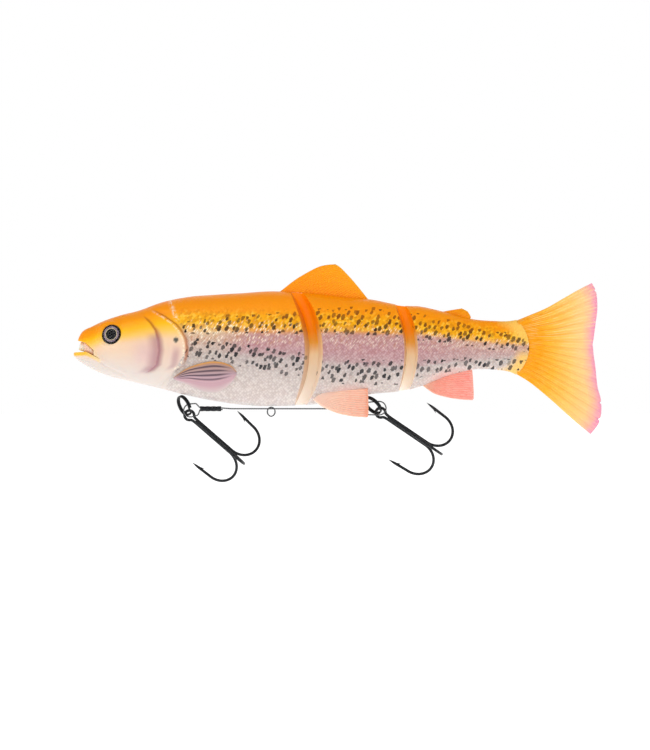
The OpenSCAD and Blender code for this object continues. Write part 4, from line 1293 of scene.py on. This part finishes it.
def hookPath(base, out):
    base, out, down = np.array(base, float), np.array(out, float), np.array([1.0, 0, 0])
    points, radii = [], []
    for along in np.linspace(0.6, hook["shank"], 24):
        points.append(base + down * along)
        radii.append(hookR)
    for a in np.linspace(0, math.pi, 40)[1:]:
        points.append(base + down * (hook["shank"] + hook["bend"] * math.sin(a)) + out * hook["bend"]
                      * (1 - math.cos(a)))
        radii.append(hookR)
    taperStart = 1 - hook["taper"] / hook["reach"]
    for part in np.linspace(0.04, 1, 26):
        points.append(base + down * (hook["shank"] - hook["reach"] * part) + out
                      * (2 * hook["bend"] + hook["flare"] * part))
        sharp = max(0.0, (part - taperStart) / (1 - taperStart))
        radii.append(hookR * (1 - sharp**1.4) + 0.03 * sharp)
    return np.array(points), np.array(radii)


def barbPath(base, out):
    base, out, down = np.array(base, float), np.array(out, float), np.array([1.0, 0, 0])
    at = base + down * (hook["shank"] - hook["reach"] + hook["barbBack"]
                        - 0.6) + out * (2 * hook["bend"] + hook["flare"] * 0.6)
    steps = np.linspace(0, 1, 12)
    path = [at + down * (2.0 * t) - out * (hook["barbRise"] * t**1.1) for t in steps]
    return np.array(path), 0.40 * (1 - steps) ** 0.8 + 0.03


def treblePlace(ringAt, lean, slope):
    lean, slope = math.radians(lean), math.radians(slope)
    limb = Vector(ringAt) + Vector((math.sin(lean), 0, -math.cos(lean))) * (rig["ringMean"] / 2)
    shank = Vector((math.cos(slope), 0, -math.sin(slope)))
    return Matrix.Translation((limb + shank * (hook["play"] + eyeNeck)) * mm) @ Matrix.Rotation(slope, 4, "Y")


def joined(parts):
    shape = bmesh.new()
    for part in parts:
        shape.from_mesh(part.data)
        bpy.data.objects.remove(part)
    return shape


def makeTreble(label, ringAt, lean, slope):
    place = treblePlace(ringAt, lean, slope)
    outs = [(0, 0.5, s * math.sqrt(3) / 2) for s in (-1, 1)]
    bases = [(0, 0, s * shankOffset) for s in (-1, 1)]
    (lowPath, lowR), (highPath, highR) = (hookPath(b, o) for b, o in zip(bases, outs))
    gapAngle = math.asin(shankOffset / eyeMean)
    turns = np.linspace(-math.pi + gapAngle, math.pi - gapAngle, 44)
    eyeLoop = np.array([[-eyeNeck - eyeMean * math.cos(a), 0, eyeMean * math.sin(a)] for a in turns])
    path = np.concatenate([lowPath[::-1], eyeLoop, highPath])
    for again in range(3):
        middle = slice(len(lowPath) - 6, len(lowPath) + len(eyeLoop) + 6)
        before = path.copy()
        path[middle] = (before[middle.start - 1:middle.stop - 1] + 2 * before[middle]
                        + before[middle.start + 1:middle.stop + 1]) / 4
    radii = np.concatenate([lowR[::-1], np.full(len(eyeLoop), hookR), highR])
    wires = [wire("part", path, radii, 16, (0, 1, 0))]
    wires += [wire("part", *barbPath(b, o), 10, (0.1, 1, 0.2)) for b, o in zip(bases, outs)]
    # the double hook with its eye, then the single hook that is brazed to it
    for name, parts, node in (
        ("DoubleHook", wires, "_double_hook"),
        ("SingleHook", [wire("part", *hookPath((0, singleOffset, 0), (0, -1, 0)), 16, (0, 0, 1)),
                        wire("part", *barbPath((0, singleOffset, 0), (0, -1, 0)), 10, (0, 0, 1))],
                        "_single_hook"),
    ):
        shape = joined(parts)
        bmesh.ops.transform(shape, matrix=place, verts=shape.verts)
        piece = finished(shape, label + name, 60)
        fit(piece, nickel, label + "_treble", label + node)


makeTreble("front", frontRing, 25.8, 41)
makeTreble("rear", rearRing, 46.2, 34.2)
print("rig made")


def makeLead():
    f = Finish("castLead")
    spot = f.place()
    grain = f.noise(spot, 1.5, 6.0, 0.7)
    colour = f.ramp(grain, (0.3, 92, 94, 98), (0.7, 136, 138, 142))
    return f.finish(colour, f.relief(grain, 0.2, 0.5), 0.6, Metallic=0.8)


def makeMagnet():
    f = Finish("magnetPlating")
    spot = f.place()
    grain = f.noise(f.stretch(spot, (1, 1, 0.2)), 0.8, 4.0)
    colour = f.ramp(grain, (0.3, 176, 176, 174), (0.7, 214, 214, 210))
    return f.finish(colour, f.relief(grain, 0.02, 0.2), 0.24, Metallic=1.0)


plating = makeMagnet()
carried = {
    "line_tube": makeTubePlastic(), "keel_weight": makeLead(),
    "front_hook_magnet": plating, "rear_hook_magnet": plating,
}
for node, material in carried.items():
    target = bpy.data.objects.get(node)
    for k in range(max(1, len(target.material_slots))):
        if target.material_slots:
            target.material_slots[k].material = material
        else:
            target.data.materials.append(material)
print("inner parts dressed")

stage = {"floorZ": -0.0545, "floorSize": 6.0, "horizon": 1.0, "overhead": 0.5, "floorGlow": 0.6}
floorMesh = bmesh.new()
bmesh.ops.create_grid(floorMesh, x_segments=2, y_segments=2, size=stage["floorSize"] / 2)
bmesh.ops.translate(floorMesh, vec=(0.09, 0, stage["floorZ"]), verts=floorMesh.verts)
floor = finished(floorMesh, "floor")
floorFinish = Finish("paleFloor")
dress(floor, floorFinish.finish(tone(246, 246, 246), None, 0.9, Emission_Color=(1, 1, 1, 1),
                                Emission_Strength=stage["floorGlow"]))

world = bpy.data.worlds.new("studio")
scene.world = world
world.use_nodes = True
studio = world.node_tree
heading = studio.nodes.new("ShaderNodeTexCoord")
parts = studio.nodes.new("ShaderNodeSeparateXYZ")
dim = studio.nodes.new("ShaderNodeMapRange")
studio.links.new(heading.outputs["Generated"], parts.inputs[0])
studio.links.new(parts.outputs["Z"], dim.inputs["Value"])
for socket, number in zip(dim.inputs[1:5], (0.12, 0.7, stage["horizon"], stage["overhead"])):
    socket.default_value = number
studio.links.new(dim.outputs[0], studio.nodes["Background"].inputs["Strength"])
studio.nodes["Background"].inputs["Color"].default_value = (1, 1, 1, 1)

lamps = (
    ("key", (-0.25, -0.60, 0.80), 0.55, 2.2),
    ("fill", (0.75, -0.55, 0.35), 0.7, 0.3),
    ("rim", (0.1, 0.7, 0.7), 0.6, 0.8),
)
for name, at, size, power in lamps:
    light = bpy.data.lights.new(name, "AREA")
    light.size = size
    light.energy = power
    lamp = bpy.data.objects.new(name, light)
    lamp.location = at
    lamp.rotation_euler = (Vector((0.09, 0, -0.01)) - Vector(at)).to_track_quat("-Z", "Y").to_euler()
    scene.collection.objects.link(lamp)

view = {"centre": (0.0916, 0.0, -0.0106), "distance": 1.583, "lens": 200}
lens = bpy.data.cameras.new("camera")
lens.lens = view["lens"]
lens.sensor_width = 36
camera = bpy.data.objects.new("camera", lens)
camera.location = Vector(view["centre"]) + Vector((0, -view["distance"], 0))
camera.rotation_euler = (math.pi / 2, 0, 0)
scene.collection.objects.link(camera)
scene.camera = camera
scene.view_settings.view_transform = "Standard"
print("stage ready")
